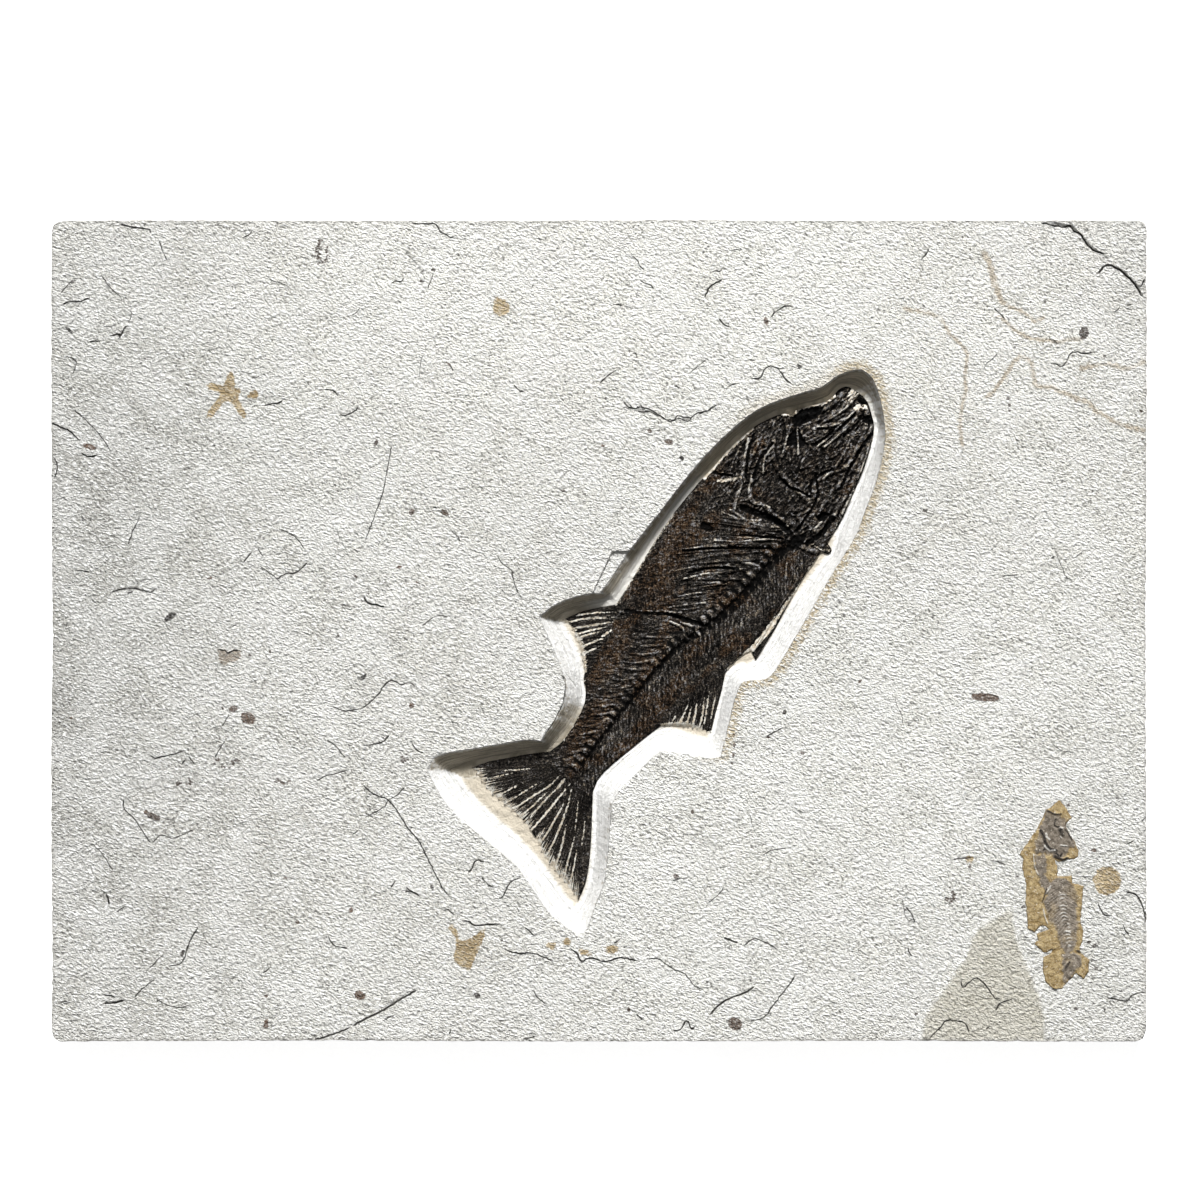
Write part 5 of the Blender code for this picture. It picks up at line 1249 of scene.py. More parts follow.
def face_heights(points, shapes):
    """The heights of the face with its bedding, ledges and cracks, and how near a crack each point lies."""
    x, y = points.T
    bedding = 0.22 * fractal(x / 34, y / 26, 1, 3) + 0.1 * fractal(x / 9, y / 6.5, 5, 3)
    turn = math.radians(-14)
    along = x * math.cos(turn) + y * math.sin(turn)
    across = y * math.cos(turn) - x * math.sin(turn)
    felt = 0.11 * noise(along / 4.6, across / 2.6, 9) + 0.08 * noise(along / 2.9, across / 2.1, 10)
    terrace = fractal(x / 52 + 3, y / 44, 15, 3) * 4.0
    level = np.floor(terrace)
    ledges = level + ease(terrace - level, 0.0, 0.16)
    heights = FACE_Z + swell(points) + bedding + felt + 0.16 * (ledges - terrace) - 0.1
    for layer in shapes.layers:
        share = ease(depth_in(points, layer, 4.0), 0.0, LAYER_RUN)
        heights = heights * (1 - share) + (PLATE_TOP - 0.35 + 0.5 * felt + 0.3 * bedding) * share
    crack = np.full(len(points), 4.0)
    for index, (line, width, step) in enumerate(shapes.cracks):
        gap, far, side = to_line(points, line, 12.0)
        travelled = far * len(line) * CRACK_STEP
        taper = np.clip(18 * far * (1 - far), 0, 1) * (gap < 12.0)
        open_width = width * (0.8 + 0.7 * noise(travelled / 3.6, 5.3 * index, 69))
        crack = np.minimum(crack, gap + (1 - taper) * 1.2 + 0.42 - np.clip(open_width, 0.04, 0.5))
        cut = (0.5 + 1.1 * width) * np.clip(1 - gap / width, 0, 1)
        raised = np.where(side > 0, step, 0.0) * np.exp(-gap / 5.0) * (gap > 0.5 * width)
        heights = heights + taper * (raised - cut)
    heights = heights - 0.25 * ease(depth_in(points, shapes.small, 4.0), -1.2, 0.4)
    heights = heights - LEDGE_DEPTH * ease(depth_in(points, shapes.ledge, 3.0), 0.0, LEDGE_RUN)
    return np.minimum(heights, PLATE_TOP - 0.03), crack


def shaded_walls(points, rim, to_rim, in_rim):
    """How much each point of the recess within 16 mm of its rim faces away from the light, judged from the
    nearest rim point: there the material paints shade, on the walls and on the floor below them.
    """
    tree = KDTree(len(rim))
    for index, spot in enumerate(rim):
        tree.insert((*spot, 0), index)
    tree.balance()
    facing = np.zeros(len(points))
    for index in np.flatnonzero(in_rim & (to_rim < 16)):
        nearest = tree.find((*points[index], 0))[0]
        facing[index] = (nearest[1] - points[index][1]) / max(to_rim[index], 1e-6)
    return ease(facing, 0.1, 0.5)


def sink_recess(points, shapes, heights):
    """The heights with the recess cut in, and the masks of its walls and floor."""
    x, y = points.T
    in_rim = inside(points, shapes.rim)
    to_rim = to_line(points, ring(shapes.rim), 40.0)[0]
    to_foot = to_line(points, ring(shapes.foot), 40.0)[0]
    on_floor = inside(points, shapes.foot) | (to_foot < 0.02)
    down = np.where(in_rim, to_rim / np.maximum(to_rim + to_foot, 1e-6), 0.0)
    down = np.where(on_floor, 1.0, down)
    scrape = 0.5 * noise(x / 14, y / 14 + down * 5, 21) + 0.35 * noise(x / 9 + down * 11, y / 9, 22)
    scrape += 0.2 * noise(x / 2.2, y / 2.2, 23)
    profile = down + 0.05 * np.sin(math.pi * down)
    wall = heights + (FLOOR_Z - heights) * profile + 0.5 * scrape * np.sin(math.pi * down)
    floor = FLOOR_Z + 0.18 * fractal(x / 4, y / 4, 25, 3) + 0.1
    floor += 0.5 * ease(to_foot, 3.5, 0.0)
    heights = np.where(in_rim, np.where(on_floor, floor, wall), heights)
    return heights, {
        "halo": (np.where(in_rim, -1.0, 1.0) * np.minimum(to_rim, 12.0), 12.0),
        "down": (down, 0.0),
        # mask of painted shade on the walls, and the floor below them, that face away from the light
        "shaded": (shaded_walls(points, shapes.rim, to_rim, in_rim), 0.0),
        "fringe": (np.where(on_floor, np.minimum(to_foot, 12.0), 0.0), 0.0),
    }


def tan_masks(points):
    """The depth inside the tan patches, and how dull they are."""
    x, y = points.T
    tan = np.full(len(points), -6.0)
    for patch in TAN_PATCHES:
        tan = np.maximum(tan, depth_in(points, np.array(patch, float), 6.0))
    for cx, cy, radius in TAN_DISCS:
        tan = np.maximum(tan, np.clip(radius - np.hypot(x - cx, y - cy), -6.0, 6.0))
    dull = depth_in(points, np.array(DULL_PATCH, float), 6.0)
    return {"tan": (np.maximum(tan, dull), -6.0), "dull": (ease(dull, -3.0, -1.0), 0.0)}


def mark_masks(points, marks):
    """The depth inside the nearest speck or fleck, and how brown it is."""
    x, y = points.T
    speck = np.full(len(points), -4.0)
    brown = np.zeros(len(points))
    for cx, cy, long, short, degrees, hue in marks:
        turn = math.radians(degrees)
        u = (x - cx) * math.cos(turn) + (y - cy) * math.sin(turn)
        v = (y - cy) * math.cos(turn) - (x - cx) * math.sin(turn)
        depth = (1 - np.hypot(u / long, v / short)) * min(long, short)
        brown = np.where(depth > np.maximum(speck, -2.0), hue, brown)
        speck = np.maximum(speck, np.clip(depth, -4.0, 4.0))
    return {"speck": (speck, -4.0), "brown": (brown, 0.0)}


def plate_relief(points, shapes):
    """Heights of the face and the recess, and the masks that the stone's material reads.

    Each mask comes with the value that it has away from the face.
    """
    x, y = points.T
    heights, crack = face_heights(points, shapes)
    heights, recess_masks = sink_recess(points, shapes, heights)
    tone = 1.0
    for cx, cy, spread_x, spread_y, much in TONES:
        tone = tone + much * np.exp(-0.5 * (((x - cx) / spread_x) ** 2 + ((y - cy) / spread_y) ** 2))
    stain = np.full(len(points), 6.0)
    for line, width in shapes.stains:
        stain = np.minimum(stain, to_line(points, line, 6.0)[0] - width)
    fish_frame = framed(points, SNOUT, FISH_HEADING)
    return heights, {
        "crack": (crack, 4.0),
        "tone": (tone, 1.0),
        "stain": (stain, 6.0),
        "layer": (np.maximum(depth_in(points, shapes.layers[1], 6.0), -6.0), -6.0),
        "fish_a": (fish_frame[:, 0], 0.0),
        "fish_b": (fish_frame[:, 1], 0.0),
        **tan_masks(points),
        **mark_masks(points, shapes.marks),
        **recess_masks,
    }


# ---------------------------------------------------------------- the large fish


class Relief:
    """Raised bones on a set of points, with how much bone and how much pale colour each point shows."""

    def __init__(self, points):
        self.points = points
        self.raised = np.zeros(len(points))
        self.bone = np.zeros(len(points))
        self.pale = np.zeros(len(points))
        self.fin_across = np.zeros(len(points))
        self.fin_along = np.zeros(len(points))

    def ridge(self, line, start_width, end_width, height, step=1.0, fade=0.0, pale=0.1, shape=0.6):
        line = smooth(line, step)
        reach = max(start_width, end_width)
        gap, along, _ = to_line(self.points, line, reach * 1.3)
        near = np.flatnonzero(gap < reach * 1.2)
        if not len(near):
            return
        share = along[near]
        width = start_width + (end_width - start_width) * share
        rise = np.clip(1 - (gap[near] / width) ** 2, 0, 1) ** shape
        rise = rise * (1 - fade * share)
        better = height * rise > self.raised[near]
        chosen = near[better]
        self.raised[chosen] = height * rise[better]
        self.bone[chosen] = np.maximum(rise[better], 0.0)
        self.pale[chosen] = pale


def spines_off_backbone(backbone, first, last, pitch, angles, lengths, start, seed):
    """Fine spines that leave the backbone, turning and shortening evenly from the first to the last."""
    rough = np.random.default_rng(seed)
    spines = []
    for a in np.arange(first, last, pitch):
        share = (a - first) / (last - first)
        a = a + rough.normal(0, 0.3)
        b = np.interp(a, backbone[:, 0], backbone[:, 1])
        angle = math.radians(angles[0] + (angles[1] - angles[0]) * share + rough.normal(0, 3))
        length = (lengths[0] + (lengths[1] - lengths[0]) * share) * rough.uniform(0.85, 1.1)
        side = math.copysign(1, angle)
        root = np.array([a, b + side * start])
        heading = np.array([math.cos(angle), math.sin(angle)])
        bend = np.array([0.06 * length, 0])
        spines.append([root, root + heading * length * 0.5 + bend, root + heading * length])
    return spines


def dome(points, centre, radii, height):
    """A low round swelling."""
    reach = (points - np.array(centre)) / np.array(radii)
    return height * np.clip(1 - (reach ** 2).sum(axis=1), 0, 1)


def fan(relief, rays, strands, height):
    """A fin's strands: each point's place across the rays, counted in strands, and its share along them."""
    points = relief.points
    lines = [smooth(ray, 1.5) for ray in rays]
    found = [to_line(points, line, 14.0) for line in lines]
    for index, (first, second) in enumerate(zip(found[:-1], found[1:])):
        gap_a, along_a, side_a = first
        gap_b, along_b, side_b = second
        between = np.flatnonzero((gap_a < 14) & (gap_b < 14) & (side_a * side_b < 0))
        share = gap_a[between] / (gap_a[between] + gap_b[between] + 1e-9)
        along = along_a[between] * (1 - share) + along_b[between] * share
        good = (along > 0.001) & (along < 0.999)
        spots = between[good]
        across = (index + share[good]) * strands
        relief.fin_across[spots] = across
        relief.fin_along[spots] = along[good]
        wander = 0.25 * noise(along[good] * 9, across, 131)
        wave = 0.5 + 0.5 * np.cos(2 * math.pi * (across + wander))
        uneven = 0.75 + 0.25 * noise(across / 1.7, along[good] * 3, 132)
        relief.raised[spots] = height * (1 - 0.35 * along[good]) * wave * uneven
        relief.bone[spots] = wave


def resampled(line, count):
    """The smooth line with this many points, evenly spaced."""
    line = smooth(line, 1.0)
    far = np.concatenate([[0], np.cumsum(np.linalg.norm(np.diff(line, axis=0), axis=1))])
    at = np.linspace(0, far[-1], count)
    return np.column_stack([np.interp(at, far, line[:, 0]), np.interp(at, far, line[:, 1])])


def strands_between(lines, count, seed):
    """Curves at random places between given ones, each with its own wobble, start and end."""
    rough = np.random.default_rng(seed)
    lines = [resampled(line, 24) for line in lines]
    for _ in range(count):
        place = rough.uniform(0, len(lines) - 1.001)
        index = int(place)
        line = lines[index] + (place - index) * (lines[index + 1] - lines[index])
        start = int(rough.uniform(0, 9))
        stop = int(rough.uniform(15, 24))
        lean = rough.normal(0, 1.6)
        wave = np.sin(np.linspace(0, rough.uniform(3, 9), 24) + rough.uniform(0, 6))
        wobble = np.linspace(-0.5, 0.5, 24) * lean + 0.5 * wave
        yield (line + np.column_stack([wobble, 0.4 * wobble]))[start:stop], rough


def add_head_bones(relief):
    """The skull's listed bones, and many short ridges between them."""
    for line, width, height in SKULL:
        relief.ridge(line, width, width * 0.7, height)
    for line, width, height in FINE_BONES:
        relief.ridge(line, width, width * 0.6, height)
    rough = np.random.default_rng(77)
    for _ in range(330):
        root = np.array([rough.uniform(13, 104), rough.uniform(-37, 32)])
        if abs(root[0] - 83) < 9 and abs(root[1] + 3) < 13:
            continue
        swing = math.radians(rough.normal(-14 - root[1] * 0.6, 32))
        length = rough.uniform(2.0, 9)
        heading = np.array([math.cos(swing), math.sin(swing)])
        side = np.array([-heading[1], heading[0]]) * rough.normal(0, 0.18) * length
        width = rough.uniform(0.4, 0.9)
        relief.ridge([root, root + heading * length / 2 + side, root + heading * length], width, width * 0.6,
                     rough.uniform(0.3, 1.0))


def add_ribs(relief):
    """The ribs: strands between the listed ones, and the ones that stand out."""
    for line, rough in strands_between(RIBS, 62, 78):
        width = rough.uniform(0.4, 1.0)
        height = rough.uniform(0.45, 1.35)
        relief.ridge(line, width, width * 0.45, height, fade=0.4, pale=0.75 * (rough.uniform() < 0.2))
    for line, width, height, pale in RIB_BONES:
        relief.ridge(line, width, width * 0.6, height, pale=pale)


def add_spines(relief, backbone):
    """The spines that leave the backbone, the fine bones of the belly and the dorsal fin's first spines."""
    for line in spines_off_backbone(backbone, 178, 262, 6.3, (-57, -42), (20, 9), 1.8, 81):
        relief.ridge(line, 1.15, 0.5, 1.25, fade=0.45, pale=0.22)
    for line in spines_off_backbone(backbone, 182, 262, 6.3, (-55, -40), (13, 6), 3.5, 82):
        relief.ridge(line, 0.5, 0.3, 0.45, fade=0.4)
    for line in spines_off_backbone(backbone, 96, 268, 4.6, (47, 32), (17, 8), 6.0, 83):
        relief.ridge(line, 0.6, 0.35, 0.6, fade=0.4)
    for line in spines_off_backbone(backbone, 100, 236, 2.7, (42, 30), (27, 15), 9.0, 84):
        relief.ridge(line, 0.4, 0.28, 0.4, fade=0.2)
    rough = np.random.default_rng(85)
    for _ in range(170):
        a = rough.uniform(104, 232)
        root = np.array([a, rough.uniform(-41, -6) + max(0.0, a - 180) * 0.2])
        swing = math.radians(rough.normal(-44, 16))
        length = rough.uniform(2, 9)
        heading = np.array([math.cos(swing), math.sin(swing)])
        relief.ridge([root, root + heading * length / 2 + (0, rough.normal(0, 0.5)), root + heading * length],
                     0.42, 0.3, rough.uniform(0.2, 0.6))
    for line in DORSAL_SPINES:
        relief.ridge(line, 0.7, 0.5, 0.9, pale=0.0)


def add_backbone(relief, backbone):
    """The row of vertebrae along the backbone, and each point's gap from it and side of it."""
    a, b = relief.points.T
    gap, along, side = to_line(relief.points, backbone, 20.0)
    relief.travelled = along * np.linalg.norm(np.diff(backbone, axis=0), axis=1).sum()
    uneven = 0.08 * noise(relief.travelled / 7, 0.0, 133)
    wave = np.cos(2 * math.pi * (relief.travelled / VERTEBRA_PITCH + uneven))
    patchy = ease(noise(a / 8, b / 8, 134), -0.7, 0.5)
    relief.joints = ease(wave, -0.1, -0.9) * (0.3 + 0.7 * patchy)
    core = np.clip(1 - (gap / (2.7 + 0.3 * wave)) ** 2, 0, 1) ** 0.5
    column = (1.9 - 0.5 * ease(a, 150, 230)) * (0.66 + 0.34 * wave * patchy) * core
    better = column > relief.raised
    relief.raised = np.where(better, column, relief.raised)
    relief.bone = np.where(better, core * (0.55 + 0.45 * wave), relief.bone)
    relief.pale = np.where(better, 0.3 * patchy, relief.pale)
    return gap, side


def build_relief(flat):
    """Every bone of the large fish, and each point's gap from the backbone and side of it."""
    relief = Relief(flat)
    backbone = smooth(BACKBONE, 1.0)
    add_head_bones(relief)
    add_ribs(relief)
    add_spines(relief, backbone)
    gap, side = add_backbone(relief, backbone)
    fan(relief, TAIL_UPPER, 3, 0.8)
    fan(relief, TAIL_LOWER, 3, 0.8)
    fan(relief, SECOND_DORSAL, 2, 0.7)
    fan(relief, ANAL, 2, 0.7)
    return relief, gap, side


def skin(a, b, across, on_trunk, head, operculum):
    """The trunk's rows of scales, how clearly they show, and the crumpled folds between the bones."""
    scales = np.sin(2 * math.pi * (a * 0.82 + b * 0.57) / 2.3 + 2.0 * noise(a / 9, b / 9, 101))
    scales = scales * np.sin(2 * math.pi * (a * 0.62 - b * 0.78) / 2.7 + 2.0 * noise(a / 8, b / 8, 102))
    scaly = on_trunk * ease(a, 88, 112) * (0.45 + 0.55 * ease(across, 4, 9) + 0.35 * ease(across, -14, -20))
    crumple = fractal(a / 4.2, b / 2.2, 103, 3) * (0.45 + 0.75 * head)
    crumple = crumple + 0.22 * fractal(a / 1.3, b / 0.9, 107, 2)
    folds = 1 - 2.6 * np.abs(noise(a / 7 + 0.9 * noise(a / 7, b / 7, 141), b / 3.0 + 0.25 * a / 3.0, 142))
    folds += 0.4 - 1.0 * np.abs(noise(a / 3.8, b / 1.6 + 0.8 * noise(a / 4, b / 4, 143), 144))
    crumple = crumple + 0.7 * head * folds * ease(noise(a / 9, b / 7, 145), -0.6, 0.3)
    crumple = crumple * (1 - 0.7 * operculum) * (0.3 + 0.7 * on_trunk)
    return scales, np.clip(scaly, 0, 1), crumple


def grooves_with_painted_shade(flat):
    """The grooves and hollows between the bones of the head and the front of the trunk, from 0 to 1; they are
    sunk into the fish's heights and darkened as painted shade.
    """
    a, b = flat.T
    wander = 0.35 * noise(a / 1.6, b / 1.6, 108)
    ragged = 0.6 * noise(a / 2, b / 2, 109)
    grooves = np.zeros(len(flat))
    for line, width in GROOVES:
        gap = to_line(flat, smooth(line, 1.0), width + 2)[0] + wander
        grooves = np.maximum(grooves, ease(gap, width, width * 0.5))
    for line in HOLLOWS:
        depth = depth_in(flat, closed_outline([line], 1.0), 3.0) + ragged
        grooves = np.maximum(grooves, ease(depth, -0.2, 0.8))
    return grooves


def painted_backbone_shadow(relief, a, b, across, on_trunk):
    """The broken band of painted shadow that the backbone casts on the body just above it, from 0 to 1."""
    start = np.interp(a, [92, 100, 165, 180, 262], [2.0, 2.2, 2.2, 1.7, 1.4])
    width = np.interp(a, [92, 100, 160, 178, 262], [2.0, 4.6, 4.6, 2.8, 1.4])
    dark = on_trunk * ease(across, start - 0.6, start + 0.3) * ease(a, 90, 98) * ease(a, 272, 262)
    dark *= ease(across + 0.5 * noise(a / 1.5, b / 1.5, 110), start + width + 0.7, start + width - 0.4)
    uneven = 1.2 * noise(a / 6, b / 6, 116)
    dark *= 0.6 + 0.4 * np.cos(2 * math.pi * relief.travelled / VERTEBRA_PITCH + uneven)
    dark *= ease(noise(a / 2.6, b / 1.9, 115), -0.7, 0.1) * 0.6 + 0.4
    return dark


def above_surroundings(faces, heights):
    """How far each point stands above the mean height of those around it."""
    ends = np.concatenate([faces[:, [0, 1]], faces[:, [1, 2]], faces[:, [2, 0]]])
    ends = np.vstack([ends, ends[:, ::-1]])
    ties = np.bincount(ends[:, 0], minlength=len(heights))
    around = heights
    for _ in range(7):
        around = np.bincount(ends[:, 0], around[ends[:, 1]], len(heights)) / np.maximum(ties, 1)
    return heights - around


def stone_between(flat):
    """Where stone covers the fish: at its nose, along its pale edges and in the gaps of its fins."""
    a, b = flat.T
    stone = np.zeros(len(flat))
    ragged = 0.45 * noise(a / 1.5, b / 0.9, 114)
    for line, width in FIN_GAPS:
        gap, far, _ = to_line(flat, smooth(line, 1.0), 4.0)
        gap = gap + ragged + 0.35 * ease(far, 0.35, 0.0)
        stone = np.maximum(stone, ease(gap, width, width * 0.3) * (a > 180))
    ragged = 0.7 * noise(a / 1.3, b / 0.9, 111)
    for at_a, at_b, long, short in NOSE_STONE:
        reach = np.hypot((a - at_a) / long, (b - at_b) / short) + ragged
        stone = np.maximum(stone, ease(reach, 1.05, 0.75))
    ragged = 0.7 * noise(a / 2.2, b / 1.0, 112)
    for line, reach, share in PALE_EDGES:
        near = to_line(flat, smooth(line, 1.0), 4.0)[0] + ragged
        stone = np.maximum(stone, share * ease(near, reach, reach * 0.4))
    return stone


def faded_fins(a, b, along, rays):
    """How much each fin has faded, which grows towards the ends of its rays and towards its rear."""
    fade = np.interp(along, [0, 0.70, 0.86, 0.96, 1], [0, 0, 0.26, 0.6, 0.9]) * (a > 278)
    rear = np.where(b > 0, rays / 22, rays / 18)
    return np.where((a < 230) & (along > 0), ease(along, 1.0 - 0.62 * rear, 1.08 - 0.2 * rear), fade)


def warm_tints(a, b, on_trunk, head):
    """Where the bone is tinted brown, from 0 to 1."""
    warm = ease(fractal(a / 17, b / 11, 129, 3), -0.05, 0.5) * on_trunk * (1 - 0.7 * head)
    for at_a, at_b, long, short in WARM_SPOTS:
        warm = np.maximum(warm, ease(np.hypot((a - at_a) / long, (b - at_b) / short), 1.3, 0.5))
    return warm


def edged(flat, outline, heights, relief):
    """The heights lowered towards the outline, with a raised jaw and thin fin ends."""
    a, b = flat.T
    to_edge = to_line(flat, ring(outline), 4.0)[0]
    to_jaw = to_line(flat, smooth(PALE_EDGES[0][0], 1.0), 3.0)[0] + 0.4 * noise(a / 1.5, b / 1.5, 117)
    heights = heights + 1.5 * ease(to_jaw, 1.9, 0.8)
    heights = np.maximum(heights - 0.5 * ease(to_edge, 0.9, 0.0), 0.25)
    thin = 0.15 + 0.5 * relief.raised - 0.35 * ease(to_edge, 1.5, 0.0)
    free = ease(relief.fin_along, 0.8, 1.0)
    return heights * (1 - free) + free * thin


def build_fish():
    """The large fish: a relief that lies on the floor of the recess."""
    outline = wobbled(fish_outline(0.9), 1.6, 0.16, 65)
    filling = lattice(outline.min(axis=0), outline.max(axis=0), FISH_STEP, 16, 0.2)
    filling = away_from(filling[inside(filling, outline)], outline, 0.3, 1.0)
    flat, faces, _ = triangulate(outline, [], filling)
    trunk = closed_outline(TRUNK, 2.0)
    a, b = flat.T
    depth = np.where(inside(flat, trunk), to_line(flat, ring(trunk), 30.0)[0], 0)
    on_trunk = np.clip(depth / 1.5, 0, 1)
    crown = 1.0 + 0.5 * on_trunk + 1.5 * np.sin(np.clip(depth / 22.0, 0, 1) * math.pi / 2)
    crown += dome(flat, *CHEEK) + dome(flat, *GILL_COVER)
    relief, gap, side = build_relief(flat)
    for line in BRIGHT_LINES:
        relief.ridge(line, 0.75, 0.55, 1.7, pale=0.92)

    across = side * gap
    head = ease(a, 106, 92)
    operculum = ease(np.hypot((a - 82) / 9.5, (b + 2) / 13), 1.0, 0.75)
    scales, scaly, crumple = skin(a, b, across, on_trunk, head, operculum)
    grooves = grooves_with_painted_shade(flat)
    dark = painted_backbone_shadow(relief, a, b, across, on_trunk)
    joints = relief.joints * ease(gap, 3.8, 2.2) * on_trunk * ease(a, 94, 100)
    lift = np.where(relief.pale > 0.9, relief.raised, relief.raised * (1 - 0.6 * grooves))
    heights = crown + lift + 0.12 * scales * scaly + 0.6 * crumple - 0.9 * grooves
    heights -= 0.45 * dark + 0.2 * joints
    heights = edged(flat, outline, heights, relief)
    masks = {
        "bone": ease(relief.bone, 0.35, 0.85),
        "pale": relief.pale * ease(relief.bone, 0.2, 0.6),
        # painted highlight on crests and painted shade in hollows: each point's height above its neighbours
        "painted_relief_shading": np.clip(above_surroundings(faces, heights), -1.5, 1.5),
        "grain": 0.5 * ease(scales + 0.6 * noise(a / 1.3, b / 1.3, 125), 0.2, 1.1) * scaly,
        "matrix": stone_between(flat),
        "warm": warm_tints(a, b, on_trunk, head),
        # painted shade of the band above the backbone and of the grooves, with the dark joints of the
        # vertebrae
        "dark": np.clip(np.maximum(np.maximum(dark, 0.8 * joints), 0.9 * grooves), 0, 1),
        "smooth": operculum,
        "head": head,
        "above": ease(across, -0.5, 0.5),
        "fin": (relief.fin_along > 0) * 1.0,
        "fin_across": relief.fin_across,
        "fin_along": relief.fin_along,
        "fade": faded_fins(a, b, relief.fin_along, relief.fin_across),
        "fish_a": a,
        "fish_b": b,
    }
    heights = FLOOR_Z + 0.3 + heights
    return film_object("fish_relief", flat, faces, heights, FLOOR_Z - 0.6, masks, fish_bone(), 60,
                       SNOUT, FISH_HEADING)


# ---------------------------------------------------------------- the small fish


def build_small_fish():
    """The small fish: a thin film on the plate's face."""
    outline = wobbled(straight(ring(np.array(SMALL_OUTLINE)), 0.9)[:-1], 1.7, 0.4, 165)
    filling = lattice(outline.min(axis=0), outline.max(axis=0), SMALL_STEP, 17, 0.2)
    filling = away_from(filling[inside(filling, outline)], outline, 0.28, 1.0)
    flat, faces, _ = triangulate(outline, [], filling)
    a, b = flat.T
    spots = placed(flat, SMALL_SNOUT, SMALL_HEADING)
    rough_edge = 1.1 * noise(a / 2.1, b / 2.1, 172)
    body = np.zeros(len(flat))
    for outline_grey in SMALL_GREY:
        body = np.maximum(body, ease(depth_in(flat, np.array(outline_grey), 4.0) + rough_edge, -0.7, 0.8))
    black = Relief(flat)
    for line, width in SMALL_BLACK:
        black.ridge(line, width, width * 0.8, 0.6, 0.7)
    pale = Relief(flat)
    for line, width in SMALL_PALE:
        pale.ridge(line, width, width * 0.8, 0.5, 0.7)
    gap, _, _ = to_line(flat, smooth(SMALL_BACKBONE, 1.0), 12.0)
    bent = a - 0.16 * gap ** 2 + 0.3 * noise(a / 2, b / 2, 173)
    rings = ease(np.cos(2 * math.pi * bent / 2.05), 0.1, 0.9)
    rings = rings * ease(gap, 2.6, 1.3) * ease(noise(a / 3, b / 3, 174), -0.5, 0.1)
    swept = a - 0.75 * gap + 0.8 * noise(a / 5, b / 5, 176)
    ribs = np.cos(2 * math.pi * swept / 1.9) * body * (a > 38) * (gap < 11.5)
    crumple = 0.16 * fractal(a / 3.0, b / 2.0, 171, 3) + 0.1 * noise(a / 1.3, b / 0.9, 175)
    edge_gap = to_line(flat, ring(outline), 3.0)[0]
    heights = 0.15 + 0.4 * ease(edge_gap, 0.0, 0.7) + 0.2 * body
    heights = heights + black.raised + pale.raised + 0.3 * rings + 0.07 * ribs
    face = FACE_Z + swell(spots)
    heights = np.minimum(face - 0.25 + heights + crumple, PLATE_TOP - 0.02)
    masks = {
        "body": body,
        "bone": ease(black.bone, 0.2, 0.8),
        "pale": np.maximum(ease(pale.bone, 0.3, 0.9), 0.75 * rings),
        "ribs": 0.5 + 0.5 * ribs,
        "edge": edge_gap,
    }
    return film_object("small_fish_film", flat, faces, heights, 23.2, masks, small_fish_bone(), 60,
                       SMALL_SNOUT, SMALL_HEADING)


# ---------------------------------------------------------------- materials

FACE_DIM = (0.80, 0.785, 0.722)
FACE_PALE = (0.875, 0.864, 0.802)
# Painted shade for the hollows of the face's grain and fibre.
GRAIN_HOLLOW_SHADE = (0.30, 0.295, 0.275)
FIBRE_HOLLOW_SHADE = (0.14, 0.135, 0.12)
TAN_DARK = (0.35, 0.25, 0.115)
TAN_LIGHT = (0.53, 0.41, 0.235)
TAN_DULL = (0.36, 0.31, 0.25)
# The dusty floor's tone, also the paler streaks of the painted shade on the recess's walls.
DUST_AND_SHADE_TONE = (0.56, 0.50, 0.40)
BONE_BLACK = (0.0012, 0.0011, 0.001)
BONE_DARK = (0.036, 0.031, 0.026)
BONE_PALE = (0.60, 0.57, 0.50)


def face_stone(g, tex):
    """The face's felted grain, in pale tones that change over the plate, with painted shade in the grain's
    hollows and painted highlight on its tops.
    """
    colour = g.mix(g.ease(g.noise(tex.at, 14.0, 4.0, 0.55), 0.3, 0.7), FACE_DIM, FACE_PALE)
    broad = g.ease(g.noise(tex.at, 5.0, 2.0, 0.5), 0.35, 0.65)
    colour = g.mix(broad, g.tint(colour, (0.93, 0.925, 0.925)), colour)
    colour = g.tint(colour, g.grey(g.attribute("tone")))
    colour = g.mix(g.scale(tex.middle, 0.35, 0.7, 0.0, 0.3), colour, (0.62, 0.605, 0.56))
    patchy = g.ease(g.noise(tex.at, 42.0, 3.0, 0.6), 0.36, 0.62)
    depth = g.scale(patchy, 0.0, 1.0, 1.0, 0.55)
    # painted shade: the hollows of the grain and the fibre, where the bump sinks, are darkened
    colour = g.mix(g.times(g.ease(tex.grain, 0.47, 0.34, 0.0, 0.8), depth), colour, GRAIN_HOLLOW_SHADE)
    colour = g.mix(g.times(g.ease(tex.fibre, 0.42, 0.32, 0.0, 0.9), depth), colour, FIBRE_HOLLOW_SHADE)
    # painted highlight: the tops of the grain are whitened
    colour = g.mix(g.ease(tex.grain, 0.52, 0.63, 0.0, 0.85), colour, (1.0, 1.0, 0.985))
    return g.mix(g.scale(patchy, 0.0, 1.0, 0.0, 0.3), colour, (0.98, 0.98, 0.965))


